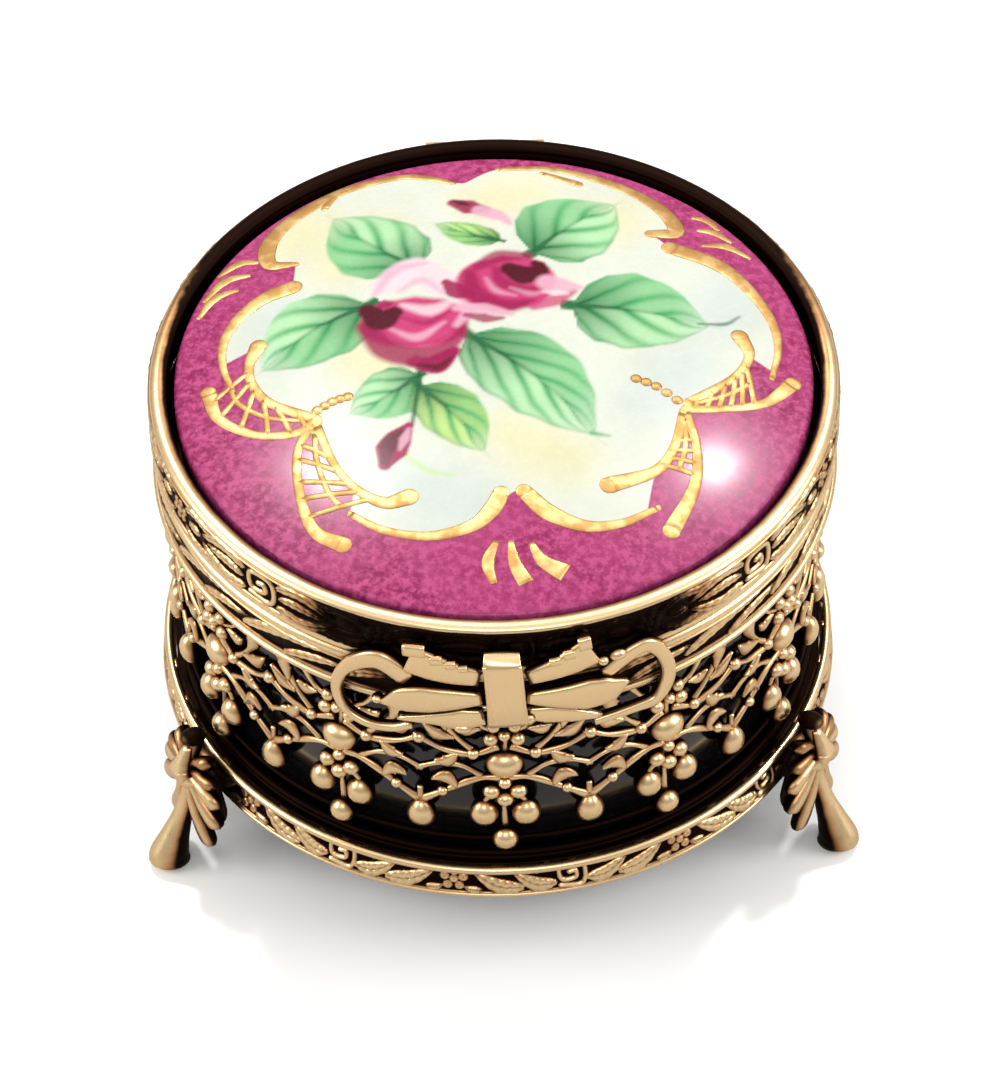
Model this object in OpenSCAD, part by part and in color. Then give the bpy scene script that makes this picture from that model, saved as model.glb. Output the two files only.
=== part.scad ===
// Round footed powder jar: a hinged lid with a domed porcelain plaque, an openwork
// wall round a dark glass liner, three shell feet and a ribbon bow as the thumb lift.
// Millimetres. +Z is up, -Y is the front with the bow, +Y is the hinge side.
// The origin is the middle of the resting plane under the three feet.

/* [Whole jar] */
// Outside diameter over the lid's rim
jar_d = 90; // [86:1:96]
// Height from the table to the underside of the base ring
leg_h = 13; // [11:0.5:16]
// Height of the openwork wall between the base ring and the collar
wall_h = 31.2; // [28:0.2:36]

/* [Base] */
// Height of the embossed base band
base_h = 5.2; // [4.6:0.1:6]
// Diameter of the half-round bead on top of the base band
bead_d = 1.8; // [1.4:0.1:2.2]

/* [Wall and liner] */
// Thickness of the openwork wall
wall_t = 1; // [0.8:0.1:1.2]
// Number of repeats of the openwork pattern round the wall
repeats = 12; // [8:1:16]
// Thickness of the glass liner's side
glass_t = 2.2; // [1.8:0.1:2.6]
// Thickness of the glass liner's floor
glass_floor = 3; // [2:0.5:4]

/* [Collar] */
// Height of the embossed collar band, without its rolled top
collar_h = 5.2; // [4.6:0.1:6]
// Height of the rolled top that the lid closes on
roll_h = 1.8; // [1.4:0.1:2.2]
// Diameter of the wire soldered under the collar band
wire_d = 1; // [0.8:0.1:1.2]

/* [Lid] */
// Height of the embossed lid band, without its rolled lip
band_h = 7.6; // [6.4:0.1:8]
// Diameter of the rolled lip round the top of the lid
lip_d = 1.5; // [1.2:0.1:1.8]
// Diameter of the porcelain plaque
plaque_d = 83.4; // [80:0.2:84]
// Rise of the plaque from its edge to its crown
plaque_rise = 5.8; // [4:0.2:6.4]
// How far the plaque's edge lies below the top of the lip
plaque_drop = 1.8; // [1.2:0.1:2.2]
// Thickness of the porcelain
plaque_t = 2.6; // [2.2:0.1:2.8]

/* [Hinge] */
// Diameter of the hinge pin
pin_d = 1.2; // [1:0.1:1.4]
// Outside diameter of the hinge knuckles
knuckle_d = 3.2; // [3:0.1:3.4]
// Overall length of the hinge barrel
hinge_l = 16; // [14:1:20]
// Radial running clearance between the pin and the lid's knuckle
pin_clear = 0.05; // [0.02:0.01:0.08]

/* [Feet and bow] */
// Distance from the jar's axis to the middle of each foot's pad
foot_reach = 52; // [51:0.5:53]
// Half width of the shell fan on each foot
fan_w = 10; // [8:0.5:11]
// Overall width of the ribbon bow
bow_w = 43; // [38:1:46]
// Thickness of the ribbon
ribbon_t = 1.2; // [1:0.1:1.4]

/* [Hidden] */
$fn = 120;

jar_r = jar_d / 2;
sheet = 1.2;                                // thickness of the rolled band sheet
ledge = 0.8;                                // thickness of inward ledges
base_top = leg_h + base_h;
base_in = jar_r - sheet - 0.2;              // inside of the base band
plate_z = leg_h + 3;                        // underside of the floor plate
plate_t = 1.2;
wall_r = jar_r - 2.4;                       // outside of the openwork wall
wall_z = plate_z + plate_t + wire_d;        // foot of the openwork wall
collar_z = wall_z + wall_h;                 // underside of the collar's ledge
collar_top = collar_z + collar_h;
roll_top = collar_top + roll_h;
lid_gap = 0.15;                             // air between the collar and the lid band
lid_z = roll_top + lid_gap;
lid_top = lid_z + band_h;                   // top of the lid band
lip_top = lid_top + lip_d / 2;
tray_z = lid_z + 0.2;                       // underside of the lid's tray
tray_t = 1;
plaque_edge = lip_top - plaque_drop;        // height of the plaque's edge
plaque_r = plaque_d / 2;
plaque_z = plaque_edge - plaque_t;
skirt_r = jar_r - 2.4;                      // locating skirt under the tray
glass_r = wall_r - wall_t - 1;
glass_z = plate_z + plate_t;
glass_top = roll_top - 3.4;
hinge_y = jar_r + 2.4;
hinge_z = roll_top;
leaf_t = 0.8;
knuckle_gap = 0.2;
lug_w = hinge_l / 3 - knuckle_gap;          // length of the lid's knuckle
bow_z = collar_top - 0.8;                   // middle of the bow
bow_r = jar_r + 0.6;                        // inner face of the ribbon
rivet_r = 0.8;

// One ring turned about the jar's axis from a section of [radius, height] points
module ring(section) {
    rotate_extrude() polygon(section);
}

// Rectangular ring
module band(r_in, r_out, z0, z1) {
    ring([[r_in, z0], [r_out, z0], [r_out, z1], [r_in, z1]]);
}

// Round wire bent into a hoop
module hoop(r, d, z) {
    rotate_extrude() translate([r, z]) circle(d = d, $fn = 32);
}

// Outline of a leaf or petal that starts at the origin and grows along +X
function petal(length, width, steps = 10) = concat(
    [for (i = [0 : steps]) [length * i / steps,
        width / 2 * pow(sin(180 * pow(i / steps, 1.7)), 0.8)]],
    [for (i = [steps - 1 : -1 : 1]) [length * i / steps,
        -width / 2 * pow(sin(180 * pow(i / steps, 1.7)), 0.8)]]);

// Outline of an oval round the origin
function oval(width, height, steps = 28) =
    [for (i = [0 : steps - 1]) [width / 2 * cos(360 * i / steps), height / 2 * sin(360 * i / steps)]];

// Height of the plaque's upper face above its edge, at a radius
function dome(r) = plaque_rise * (1 - pow(r / plaque_r, 2.3));

// Rolled and embossed band of the base, with the ledge that carries the floor plate
module base_ring() {
    color("peru") ring([
        [base_in, leg_h + 0.2], [jar_r - 0.2, leg_h], [jar_r + 0.3, leg_h + 0.3],
        [jar_r + 0.3, leg_h + 0.9], [jar_r - 0.2, leg_h + 1.3],
        [jar_r - 0.6, base_top - bead_d / 2], [base_in, base_top - bead_d / 2],
        [base_in, plate_z], [base_in - 2.6, plate_z], [base_in - 2.6, plate_z - ledge],
        [base_in, plate_z - ledge]]);
}

// Half-round bead that finishes the top of the base band
module base_bead() {
    color("burlywood") rotate_extrude() translate([jar_r - 0.9, base_top - bead_d / 2])
        intersection() {
            circle(d = bead_d, $fn = 32);
            translate([-bead_d, 0]) square([2 * bead_d, bead_d]);
        }
}

// Disc that closes the bottom and carries the liner and the wall
module floor_plate() {
    color("peru") translate([0, 0, plate_z]) cylinder(r = base_in - 0.2, h = plate_t);
}

// Wire at the foot of the openwork wall
module wall_foot_wire() {
    color("burlywood") band(wall_r - wall_t, wall_r, glass_z, wall_z);
}

// Outline of one opening in the wall, pointed at both ends
module opening_outline(width, height) {
    polygon([[0, -height / 2], [width / 2, -height / 6], [width / 2, height / 6],
             [0, height / 2], [-width / 2, height / 6], [-width / 2, -height / 6]]);
}

// Openwork wall: rows of pointed openings between an upper and a lower rail
module wall_filigree() {
    rail = 2;
    pitch = 360 / repeats;
    open_w = 2 * PI * wall_r / repeats * 0.36;
    open_h = (wall_h - 3 * rail) / 2;
    color("burlywood") difference() {
        band(wall_r - wall_t, wall_r, wall_z, collar_z);
        for (i = [0 : 2 * repeats - 1], row = [0, 1])
            rotate([0, 0, (i + 0.5) * pitch / 2])
                translate([wall_r - wall_t - 1, 0, wall_z + rail + open_h / 2 + row * (open_h + rail)])
                    rotate([90, 0, 90]) linear_extrude(wall_t + 2) opening_outline(open_w, open_h);
    }
}

// Embossed band under the rolled top, with the ledge that sits on the wall
module collar_band() {
    color("peru") ring([
        [wall_r - wall_t, collar_z], [jar_r - 0.6, collar_z], [jar_r - 0.6, collar_z + wire_d],
        [jar_r - 0.3, collar_top], [jar_r - sheet - 0.6, collar_top],
        [jar_r - sheet - 0.8, collar_z + ledge], [wall_r - wall_t, collar_z + ledge]]);
}

// Bright wire that runs round under the collar band
module collar_wire() {
    color("burlywood") band(jar_r - 0.6, jar_r - 0.6 + wire_d * 0.7, collar_z, collar_z + wire_d);
}

// Rolled top of the body, which the lid closes on
module collar_roll() {
    color("burlywood") ring([
        [jar_r - sheet - 0.6, collar_top], [jar_r - 0.3, collar_top],
        [jar_r, collar_top + roll_h * 0.3], [jar_r, collar_top + roll_h * 0.7],
        [jar_r - 0.3, roll_top], [jar_r - sheet - 0.6, roll_top]]);
}

// Dark glass cup that holds the powder and lifts out when the lid is open
module liner() {
    color("black") ring([
        [0, glass_z], [glass_r - 1.4, glass_z], [glass_r, glass_z + 1.4], [glass_r, glass_top],
        [glass_r - glass_t, glass_top], [glass_r - glass_t, glass_z + glass_floor + 1],
        [glass_r - glass_t - 1, glass_z + glass_floor], [0, glass_z + glass_floor]]);
}

// Stations down the middle of a foot: distance from the jar's axis, height and half thickness
foot_line = [[jar_r + 4.4, leg_h + 11.6, 1.5], [jar_r + 6.2, leg_h + 7.6, 1.7],
             [jar_r + 4.6, leg_h + 3.2, 2.1], [jar_r + 4.4, leg_h - 5, 1.5],
             [foot_reach, 2.4, 2.2]];

// One cast foot on the +X side: curled top, shell fan and a toe with a flat pad
module foot() {
    fan_r = jar_r + 2.8;                    // inner face of the shell fan
    plate_w = 9;
    pad_h = 1.6;
    color("goldenrod") {
        for (i = [0 : len(foot_line) - 2])
            hull() {
                for (s = [foot_line[i], foot_line[i + 1]])
                    translate([s[0], 0, s[1]]) sphere(r = s[2], $fn = 20);
            }
        translate([foot_reach, 0, 0]) cylinder(r = 1.9, h = pad_h, $fn = 48);
        translate([fan_r, 0, leg_h + 3.4]) rotate([90, 0, 90]) linear_extrude(2) offset(r = 0.3, $fn = 12)
            for (side = [-1, 1], k = [0 : 2])
                rotate(-90 + side * (24 + 31 * k)) polygon(petal(fan_w + 2.8 - k * 1.2, 5));
        intersection() {
            translate([jar_r - 1, -plate_w / 2, leg_h + 1.4]) cube([5, plate_w, 2.6]);
            difference() {
                cylinder(r = fan_r + 0.4, h = base_top + 10);
                translate([0, 0, -1]) cylinder(r = jar_r - 0.2, h = base_top + 12);
            }
        }
    }
}

module foot_left() {
    rotate([0, 0, 210]) foot();
}

module foot_right() {
    rotate([0, 0, -30]) foot();
}

module foot_back() {
    rotate([0, 0, 90]) foot();
}

// Two small rivets through the base band behind each foot
module foot_rivets() {
    color("goldenrod")
        for (a = [210, -30, 90], side = [-1, 1])
            rotate([0, 0, a + side * 4]) translate([base_in - 0.6, 0, leg_h + 1.9])
                rotate([0, 90, 0]) cylinder(r = 0.7, h = 2.8, $fn = 24);
}

// Barrel of one knuckle, drilled for the pin, from x0 to x1
module knuckle(x0, x1, bore_r) {
    translate([x0, hinge_y, hinge_z]) rotate([0, 90, 0]) difference() {
        cylinder(d = knuckle_d, h = x1 - x0, $fn = 48);
        translate([0, 0, -1]) cylinder(r = bore_r, h = x1 - x0 + 2, $fn = 48);
    }
}

// Web that joins a knuckle to its leaf, drilled clear of the bore
module web(x0, x1, z0, z1, bore_r) {
    difference() {
        translate([x0, hinge_y - knuckle_d / 2, z0]) cube([x1 - x0, leaf_t, z1 - z0]);
        translate([x0 - 1, hinge_y, hinge_z]) rotate([0, 90, 0])
            cylinder(r = bore_r + 0.4, h = x1 - x0 + 2, $fn = 48);
    }
}

// Plate of a leaf, its inner face hollowed to lie on the jar at radius r
module leaf_plate(z0, z1, r) {
    difference() {
        translate([-hinge_l / 2, jar_r - 2.4, z0]) cube([hinge_l, 3.2 + leaf_t, z1 - z0]);
        cylinder(r = r, h = lip_top);
    }
}

// Leaf riveted to the collar, with the two outer knuckles
module hinge_leaf_body() {
    plate_top = hinge_z - knuckle_d / 2 - 0.6;
    color("peru") {
        for (side = [-1, 1]) {
            x0 = side < 0 ? -hinge_l / 2 : lug_w / 2 + knuckle_gap;
            x1 = side < 0 ? -lug_w / 2 - knuckle_gap : hinge_l / 2;
            knuckle(x0, x1, pin_d / 2);
            web(x0, x1, plate_top - 1, hinge_z, pin_d / 2);
        }
        leaf_plate(collar_z + 1.6, plate_top, jar_r - 0.3);
    }
}

// Leaf riveted to the lid band, with the middle knuckle
module hinge_leaf_lid() {
    plate_z0 = hinge_z + knuckle_d / 2 + 0.6;
    color("peru") {
        knuckle(-lug_w / 2, lug_w / 2, pin_d / 2 + pin_clear);
        web(-lug_w / 2, lug_w / 2, hinge_z, plate_z0 + 1, pin_d / 2 + pin_clear);
        leaf_plate(plate_z0, lid_top - 1.6, jar_r + 0.1);
    }
}

module hinge_rivet(x, z) {
    translate([x, hinge_y - knuckle_d / 2 + leaf_t + 0.4, z]) rotate([90, 0, 0])
        cylinder(r = rivet_r, h = 3.2, $fn = 24);
}

// Rivets that hold the body's leaf
module hinge_rivets_body() {
    color("burlywood") for (x = [-5, 5]) hinge_rivet(x, hinge_z - 3.8);
}

// Rivets that hold the lid's leaf
module hinge_rivets_lid() {
    color("burlywood") for (x = [-5, 5]) hinge_rivet(x, hinge_z + 3.8);
}

// Pin that the lid turns on, tight in the outer knuckles
module hinge_pin() {
    color("burlywood") translate([-hinge_l / 2 - 0.5, hinge_y, hinge_z]) rotate([0, 90, 0])
        cylinder(d = pin_d, h = hinge_l + 1, $fn = 48);
}

// Embossed side band of the lid
module lid_band() {
    color("peru") ring([
        [jar_r - 1.7, lid_z], [jar_r - 0.3, lid_z], [jar_r + 0.1, lid_z + band_h * 0.35],
        [jar_r + 0.1, lid_z + band_h * 0.7], [jar_r - 0.2, lid_top], [jar_r - 1.5, lid_top]]);
}

// Rolled lip that frames the plaque
module lid_lip() {
    color("burlywood") rotate_extrude() translate([jar_r - 0.8, lid_top]) intersection() {
        circle(d = lip_d, $fn = 32);
        translate([-lip_d, 0]) square([2 * lip_d, lip_d]);
    }
}

// Tray soldered inside the lid band, with the skirt that centres the lid on the body
module lid_tray() {
    skirt_h = 2.4;
    color("peru") ring([
        [0, tray_z], [skirt_r - 0.8, tray_z], [skirt_r - 0.8, tray_z - skirt_h],
        [skirt_r, tray_z - skirt_h], [skirt_r, tray_z], [jar_r - 1.7, tray_z],
        [jar_r - 1.7, tray_z + tray_t], [0, tray_z + tray_t]]);
}

// Packing ring that the plaque is bedded on
module plaque_pad() {
    color("dimgray") band(plaque_r - 7, plaque_r - 0.6, tray_z + tray_t, plaque_z);
}

// Domed porcelain plaque, hollowed underneath
module plaque() {
    steps = 20;
    hollow_r = plaque_r - 3;
    color("orchid") ring(concat(
        [for (i = [0 : steps]) [plaque_r * i / steps, plaque_edge + dome(plaque_r * i / steps)]],
        [[plaque_r, plaque_z], [hollow_r, plaque_z]],
        [for (i = [steps - 1 : -1 : 0]) [hollow_r * i / steps,
            plaque_edge - plaque_t + dome(hollow_r * i / steps) - dome(hollow_r)]]));
}

// Part of a shell round the jar at the front, from r_in to r_out
module front_shell(r_in, r_out) {
    difference() {
        cylinder(r = r_out, h = lip_top + 10);
        translate([0, 0, -1]) cylinder(r = r_in, h = lip_top + 12);
    }
}

// Flat outline of the bow, seen from the front
module bow_outline() {
    loop_w = 11.4;
    loop_h = 12.4;
    fold = 12.6;
    square([6, 9], center = true);
    for (side = [-1, 1]) {
        translate([side * (bow_w - loop_w) / 2, -2]) difference() {
            polygon(oval(loop_w, loop_h));
            polygon(oval(loop_w - 4.4, loop_h - 4.6));
        }
        for (k = [-1 : 1])
            translate([side * 1.5, k * 2.4]) rotate(side > 0 ? k * 17 : 180 - k * 17)
                polygon(petal(fold, 5.4));
    }
}

// Cast ribbon with a loop and three folds on each side
module bow_ribbon() {
    color("goldenrod") intersection() {
        front_shell(bow_r, bow_r + ribbon_t);
        translate([0, 0, bow_z]) rotate([90, 0, 0]) linear_extrude(jar_r + 10)
            offset(r = 0.3, $fn = 16) bow_outline();
    }
}

// Strap across the middle of the bow, folded back over its top edge
module bow_knot() {
    strap_w = 5;
    strap_h = 12.2;
    color("goldenrod") intersection() {
        front_shell(bow_r + ribbon_t, bow_r + 2.4);
        translate([-strap_w / 2, -jar_r - 10, bow_z + 8.2 - strap_h]) cube([strap_w, 20, strap_h]);
    }
}

// Stud that carries the bow clear of the body, fixed through the lid band
module bow_stud() {
    color("peru") translate([0, -jar_r + 1.2, lid_z + 2.4]) rotate([90, 0, 0])
        cylinder(r = 1.3, h = bow_r - jar_r + 1.1 + ribbon_t, $fn = 32);
}

base_ring();
base_bead();
floor_plate();
wall_foot_wire();
wall_filigree();
collar_band();
collar_wire();
collar_roll();
liner();
foot_left();
foot_right();
foot_back();
foot_rivets();
hinge_leaf_body();
hinge_rivets_body();
hinge_pin();
lid_band();
lid_lip();
lid_tray();
plaque_pad();
plaque();
hinge_leaf_lid();
hinge_rivets_lid();
bow_ribbon();
bow_knot();
bow_stud();
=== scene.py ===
# %% [markdown]
# # Round footed powder jar
# A small dressing-table jar: gilt brass with dark antiquing, a domed porcelain plaque in the lid,
# an openwork wall of vines and berries round a black glass liner, three shell feet and a bow.
# The working model of the jar, with its hinge, is loaded first and is never changed. What follows
# makes the pieces that are seen, each in the place that the working model gives it.

# %% Frame
import math

import bmesh
import bpy
import numpy as np
from mathutils import Matrix, Vector


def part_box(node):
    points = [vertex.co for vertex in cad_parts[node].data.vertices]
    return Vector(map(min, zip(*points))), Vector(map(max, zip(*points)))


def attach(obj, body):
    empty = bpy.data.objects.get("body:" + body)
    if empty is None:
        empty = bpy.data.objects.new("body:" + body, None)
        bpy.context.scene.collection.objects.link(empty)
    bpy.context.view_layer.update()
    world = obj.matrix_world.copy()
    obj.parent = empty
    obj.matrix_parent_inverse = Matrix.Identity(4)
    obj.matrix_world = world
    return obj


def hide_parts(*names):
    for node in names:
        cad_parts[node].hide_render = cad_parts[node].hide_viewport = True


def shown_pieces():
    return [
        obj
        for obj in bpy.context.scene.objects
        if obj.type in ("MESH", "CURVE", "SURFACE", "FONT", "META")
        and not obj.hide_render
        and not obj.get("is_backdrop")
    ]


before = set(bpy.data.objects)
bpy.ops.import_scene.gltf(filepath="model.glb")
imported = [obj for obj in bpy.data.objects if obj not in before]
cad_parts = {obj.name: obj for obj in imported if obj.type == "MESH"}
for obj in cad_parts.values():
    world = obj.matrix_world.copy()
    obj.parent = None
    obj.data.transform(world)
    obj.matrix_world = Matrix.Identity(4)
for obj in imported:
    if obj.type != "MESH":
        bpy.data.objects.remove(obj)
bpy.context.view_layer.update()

MM = 0.001


def span(node):
    """Outer radius and the heights of a turned node's bottom and top, in millimetres."""
    low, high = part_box(node)
    return max(-low.x, high.x) / MM, low.z / MM, high.z / MM


wall_r, wall_z, wall_top = span("wall_filigree")
lid_r, lid_z, lid_top = span("lid_band")
base_r, base_z, base_band_top = span("base_ring")
print("wall radius and heights", round(wall_r, 2), round(wall_z, 2), round(wall_top, 2))
print("lid band", round(lid_r, 2), round(lid_z, 2), round(lid_top, 2))

# %% [markdown]
# ## Camera
# A long lens from above the front edge keeps the circles nearly true ellipses, as in a catalogue
# picture. The camera is aimed by three turns: down at the jar, a slight roll, then a slight tilt up
# so that the jar sits below the middle of the frame.

# %% Camera
CAMERA_DISTANCE = 1.0
CAMERA_ELEVATION = math.radians(47.72)
CAMERA_AZIMUTH = math.radians(-0.8)
CAMERA_ROLL = math.radians(-0.94)
CAMERA_TILT = math.radians(0.86)
aim = Vector((0, 0, base_z * MM))

camera_data = bpy.data.cameras.new("Camera")
camera_data.lens = 249.5
camera_data.clip_end = 20
camera = bpy.data.objects.new("Camera", camera_data)
bpy.context.scene.collection.objects.link(camera)
turn = Matrix.Rotation(CAMERA_AZIMUTH, 4, "Z") @ Matrix.Rotation(math.pi / 2 - CAMERA_ELEVATION, 4, "X")
camera.matrix_world = (
    Matrix.Translation(aim + turn @ Vector((0, 0, CAMERA_DISTANCE)))
    @ turn
    @ Matrix.Rotation(CAMERA_ROLL, 4, "Z")
    @ Matrix.Rotation(CAMERA_TILT, 4, "X")
)
bpy.context.scene.camera = camera
print("camera at", [round(v, 3) for v in camera.matrix_world.translation])

# %% [markdown]
# ## Studio
# Two small lamps behind the jar put the highlights on the front slope of the porcelain and throw the
# shadow forward, so the front of the metal stays deep. Square side boxes light the flanks, and a
# weak fill near the camera keeps the painting's colours even.

# %% Studio
def soft_box(name, place, size, power, tint=(1.0, 0.985, 0.96)):
    """Rectangular area light that looks at the middle of the jar."""
    data = bpy.data.lights.new(name, "AREA")
    data.shape = "RECTANGLE"
    data.size, data.size_y = size
    data.energy = power
    data.color = tint
    lamp = bpy.data.objects.new(name, data)
    lamp.location = place
    lamp.rotation_euler = (Vector((0, 0, 0.03)) - Vector(place)).to_track_quat("-Z", "Y").to_euler()
    bpy.context.scene.collection.objects.link(lamp)
    return lamp


soft_box("box_back_left", (-0.15, 0.31, 0.58), (0.045, 0.045), 1.8)
soft_box("box_back_right", (0.215, 0.31, 0.57), (0.045, 0.045), 1.5)
soft_box("box_side_left", (-0.75, -0.10, 0.42), (0.5, 0.5), 4.0)
soft_box("box_side_right", (0.75, -0.10, 0.42), (0.5, 0.5), 4.0)
soft_box("fill_front", (0, -0.85, 0.95), (0.6, 0.35), 2.6)

world = bpy.data.worlds.new("Studio")
world.use_nodes = True
world.node_tree.nodes["Background"].inputs["Color"].default_value = (1, 1, 1, 1)
sky, sky_link = world.node_tree.nodes, world.node_tree.links.new
toward = sky.new("ShaderNodeTexCoord")
parts_of_way = sky.new("ShaderNodeSeparateXYZ")
sky_link(toward.outputs["Generated"], parts_of_way.inputs["Vector"])
# Dimmer towards the walls of the room than overhead, so the metal gets darker sides
overhead = sky.new("ShaderNodeMapRange")
for label, value in (("From Min", 0.0), ("From Max", 0.9), ("To Min", 0.26), ("To Max", 0.84)):
    overhead.inputs[label].default_value = value
sky_link(parts_of_way.outputs["Z"], overhead.inputs["Value"])
# The wall behind the jar looks as pale as the table
seen = sky.new("ShaderNodeLightPath")
wall_or_room = sky.new("ShaderNodeMix")
wall_or_room.inputs["B"].default_value = 0.86
sky_link(seen.outputs["Is Camera Ray"], wall_or_room.inputs["Factor"])
sky_link(overhead.outputs["Result"], wall_or_room.inputs["A"])
sky_link(wall_or_room.outputs["Result"], sky["Background"].inputs["Strength"])
bpy.context.scene.world = world
bpy.context.scene.view_settings.view_transform = "Standard"


def put(obj):
    bpy.context.scene.collection.objects.link(obj)
    return obj


def nodes_of(material):
    """The material's nodes and a short way to link two sockets."""
    material.use_nodes = True
    tree = material.node_tree
    return tree.nodes, tree.links.new


floor_mesh = bpy.data.meshes.new("floor")
half_floor = 3.0
floor_mesh.from_pydata(
    [(-half_floor, -half_floor, 0), (half_floor, -half_floor, 0),
     (half_floor, half_floor, 0), (-half_floor, half_floor, 0)], [], [(0, 1, 2, 3)])
floor = put(bpy.data.objects.new("floor", floor_mesh))
floor_paint = bpy.data.materials.new("pale_floor")
nodes, link = nodes_of(floor_paint)
pale = nodes["Principled BSDF"]
pale.inputs["Base Color"].default_value = (0.93, 0.93, 0.93, 1)
pale.inputs["Roughness"].default_value = 0.9
# The polished metal sees a darker table than the eye does, as with a grey card laid round the jar
grey_card = nodes.new("ShaderNodeBsdfDiffuse")
grey_card.inputs["Color"].default_value = (0.42, 0.40, 0.38, 1)
path = nodes.new("ShaderNodeLightPath")
either = nodes.new("ShaderNodeMixShader")
link(path.outputs["Is Glossy Ray"], either.inputs["Fac"])
link(pale.outputs["BSDF"], either.inputs[1])
link(grey_card.outputs["BSDF"], either.inputs[2])
link(either.outputs["Shader"], nodes["Material Output"].inputs["Surface"])
floor_mesh.materials.append(floor_paint)
floor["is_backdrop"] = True

# %% [markdown]
# ## Antiqued brass
# Antiquing blackens the whole casting, then a buff brings back the gold on whatever stands proud.
# So the colour follows the relief: each ornament carries a vertex value named relief, 0 in the
# hollows and 1 on the crests. One node group turns that value into colour and roughness.

# %% Patina group
def linear(red, green, blue):
    """A colour given as 0 to 255 screen values, as the linear values that Blender mixes."""
    screen = np.array([red, green, blue]) / 255
    light = np.where(screen <= 0.04045, screen / 12.92, ((screen + 0.055) / 1.055) ** 2.4)
    return (*[float(v) for v in light], 1.0)


def group_with(name, inputs, outputs):
    """Empty shader group with named sockets, each given as (name, socket type, default)."""
    tree = bpy.data.node_groups.new(name, "ShaderNodeTree")
    for label, kind, value in inputs:
        socket = tree.interface.new_socket(label, in_out="INPUT", socket_type=kind)
        if value is not None:
            socket.default_value = value
    for label, kind in outputs:
        tree.interface.new_socket(label, in_out="OUTPUT", socket_type=kind)
    return tree, tree.nodes.new("NodeGroupInput"), tree.nodes.new("NodeGroupOutput")


def mix_colour(nodes, link, factor, first, second, blend="MIX"):
    """Colour mix; each argument is a socket or a plain value."""
    mix = nodes.new("ShaderNodeMix")
    mix.data_type = "RGBA"
    mix.blend_type = blend
    for socket, value in ((mix.inputs[0], factor), (mix.inputs[6], first), (mix.inputs[7], second)):
        if isinstance(value, bpy.types.NodeSocket):
            link(value, socket)
        else:
            socket.default_value = value
    return mix.outputs[2]


def mapped(nodes, link, value, low, high, new_low=0.0, new_high=1.0, smooth=True):
    """A value's range from low to high, taken to another range and held at its ends."""
    step = nodes.new("ShaderNodeMapRange")
    step.interpolation_type = "SMOOTHSTEP" if smooth else "LINEAR"
    link(value, step.inputs["Value"])
    for label, number in zip(("From Min", "From Max", "To Min", "To Max"), (low, high, new_low, new_high)):
        step.inputs[label].default_value = number
    return step.outputs["Result"]


def added(nodes, link, first, second, operation="ADD"):
    step = nodes.new("ShaderNodeMath")
    step.operation = operation
    for socket, value in zip(step.inputs, (first, second)):
        if isinstance(value, bpy.types.NodeSocket):
            link(value, socket)
        else:
            socket.default_value = value
    return step.outputs[0]


def noise_of(nodes, link, vector, scale, detail=3.0, roughness=0.55):
    grain = nodes.new("ShaderNodeTexNoise")
    link(vector, grain.inputs["Vector"])
    grain.inputs["Scale"].default_value = scale
    grain.inputs["Detail"].default_value = detail
    grain.inputs["Roughness"].default_value = roughness
    return grain.outputs["Fac"]


def dented(nodes, link, shader, height, strength, deep):
    """Fine bump on a shader, at most deep millimetres."""
    dent = nodes.new("ShaderNodeBump")
    dent.inputs["Strength"].default_value = strength
    dent.inputs["Distance"].default_value = deep * MM
    link(height, dent.inputs["Height"])
    link(dent.outputs["Normal"], shader.inputs["Normal"])


FLOAT, COLOUR, VECTOR = "NodeSocketFloat", "NodeSocketColor", "NodeSocketVector"
patina_group, source, result = group_with(
    "Buffed patina",
    [("Vector", VECTOR, None), ("Relief", FLOAT, 0.7), ("Gold", COLOUR, linear(255, 223, 172)),
     ("Tan", COLOUR, linear(203, 151, 103)), ("Black", COLOUR, linear(26, 14, 9)),
     ("Wear", FLOAT, 0.0)],
    [("Color", COLOUR), ("Roughness", FLOAT), ("Height", FLOAT)])
nodes, link = patina_group.nodes, patina_group.links.new
blotch = noise_of(nodes, link, source.outputs["Vector"], 320, 4)
speck = noise_of(nodes, link, source.outputs["Vector"], 1900, 3)
shifted = added(nodes, link, added(nodes, link, blotch, 0.36, "MULTIPLY"), -0.18)
level = added(nodes, link, added(nodes, link, source.outputs["Relief"], shifted), source.outputs["Wear"])
buffed = mapped(nodes, link, level, 0.29, 0.61)
crest = mapped(nodes, link, level, 0.50, 0.95)
tan_or_gold = mix_colour(nodes, link, crest, source.outputs["Tan"], source.outputs["Gold"])
link(mix_colour(nodes, link, buffed, source.outputs["Black"], tan_or_gold), result.inputs["Color"])
rough = mapped(nodes, link, buffed, 0, 1, 0.50, 0.24, smooth=False)
link(added(nodes, link, rough, added(nodes, link, speck, 0.10, "MULTIPLY")), result.inputs["Roughness"])
link(added(nodes, link, speck, added(nodes, link, blotch, 0.6, "MULTIPLY")), result.inputs["Height"])


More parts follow.
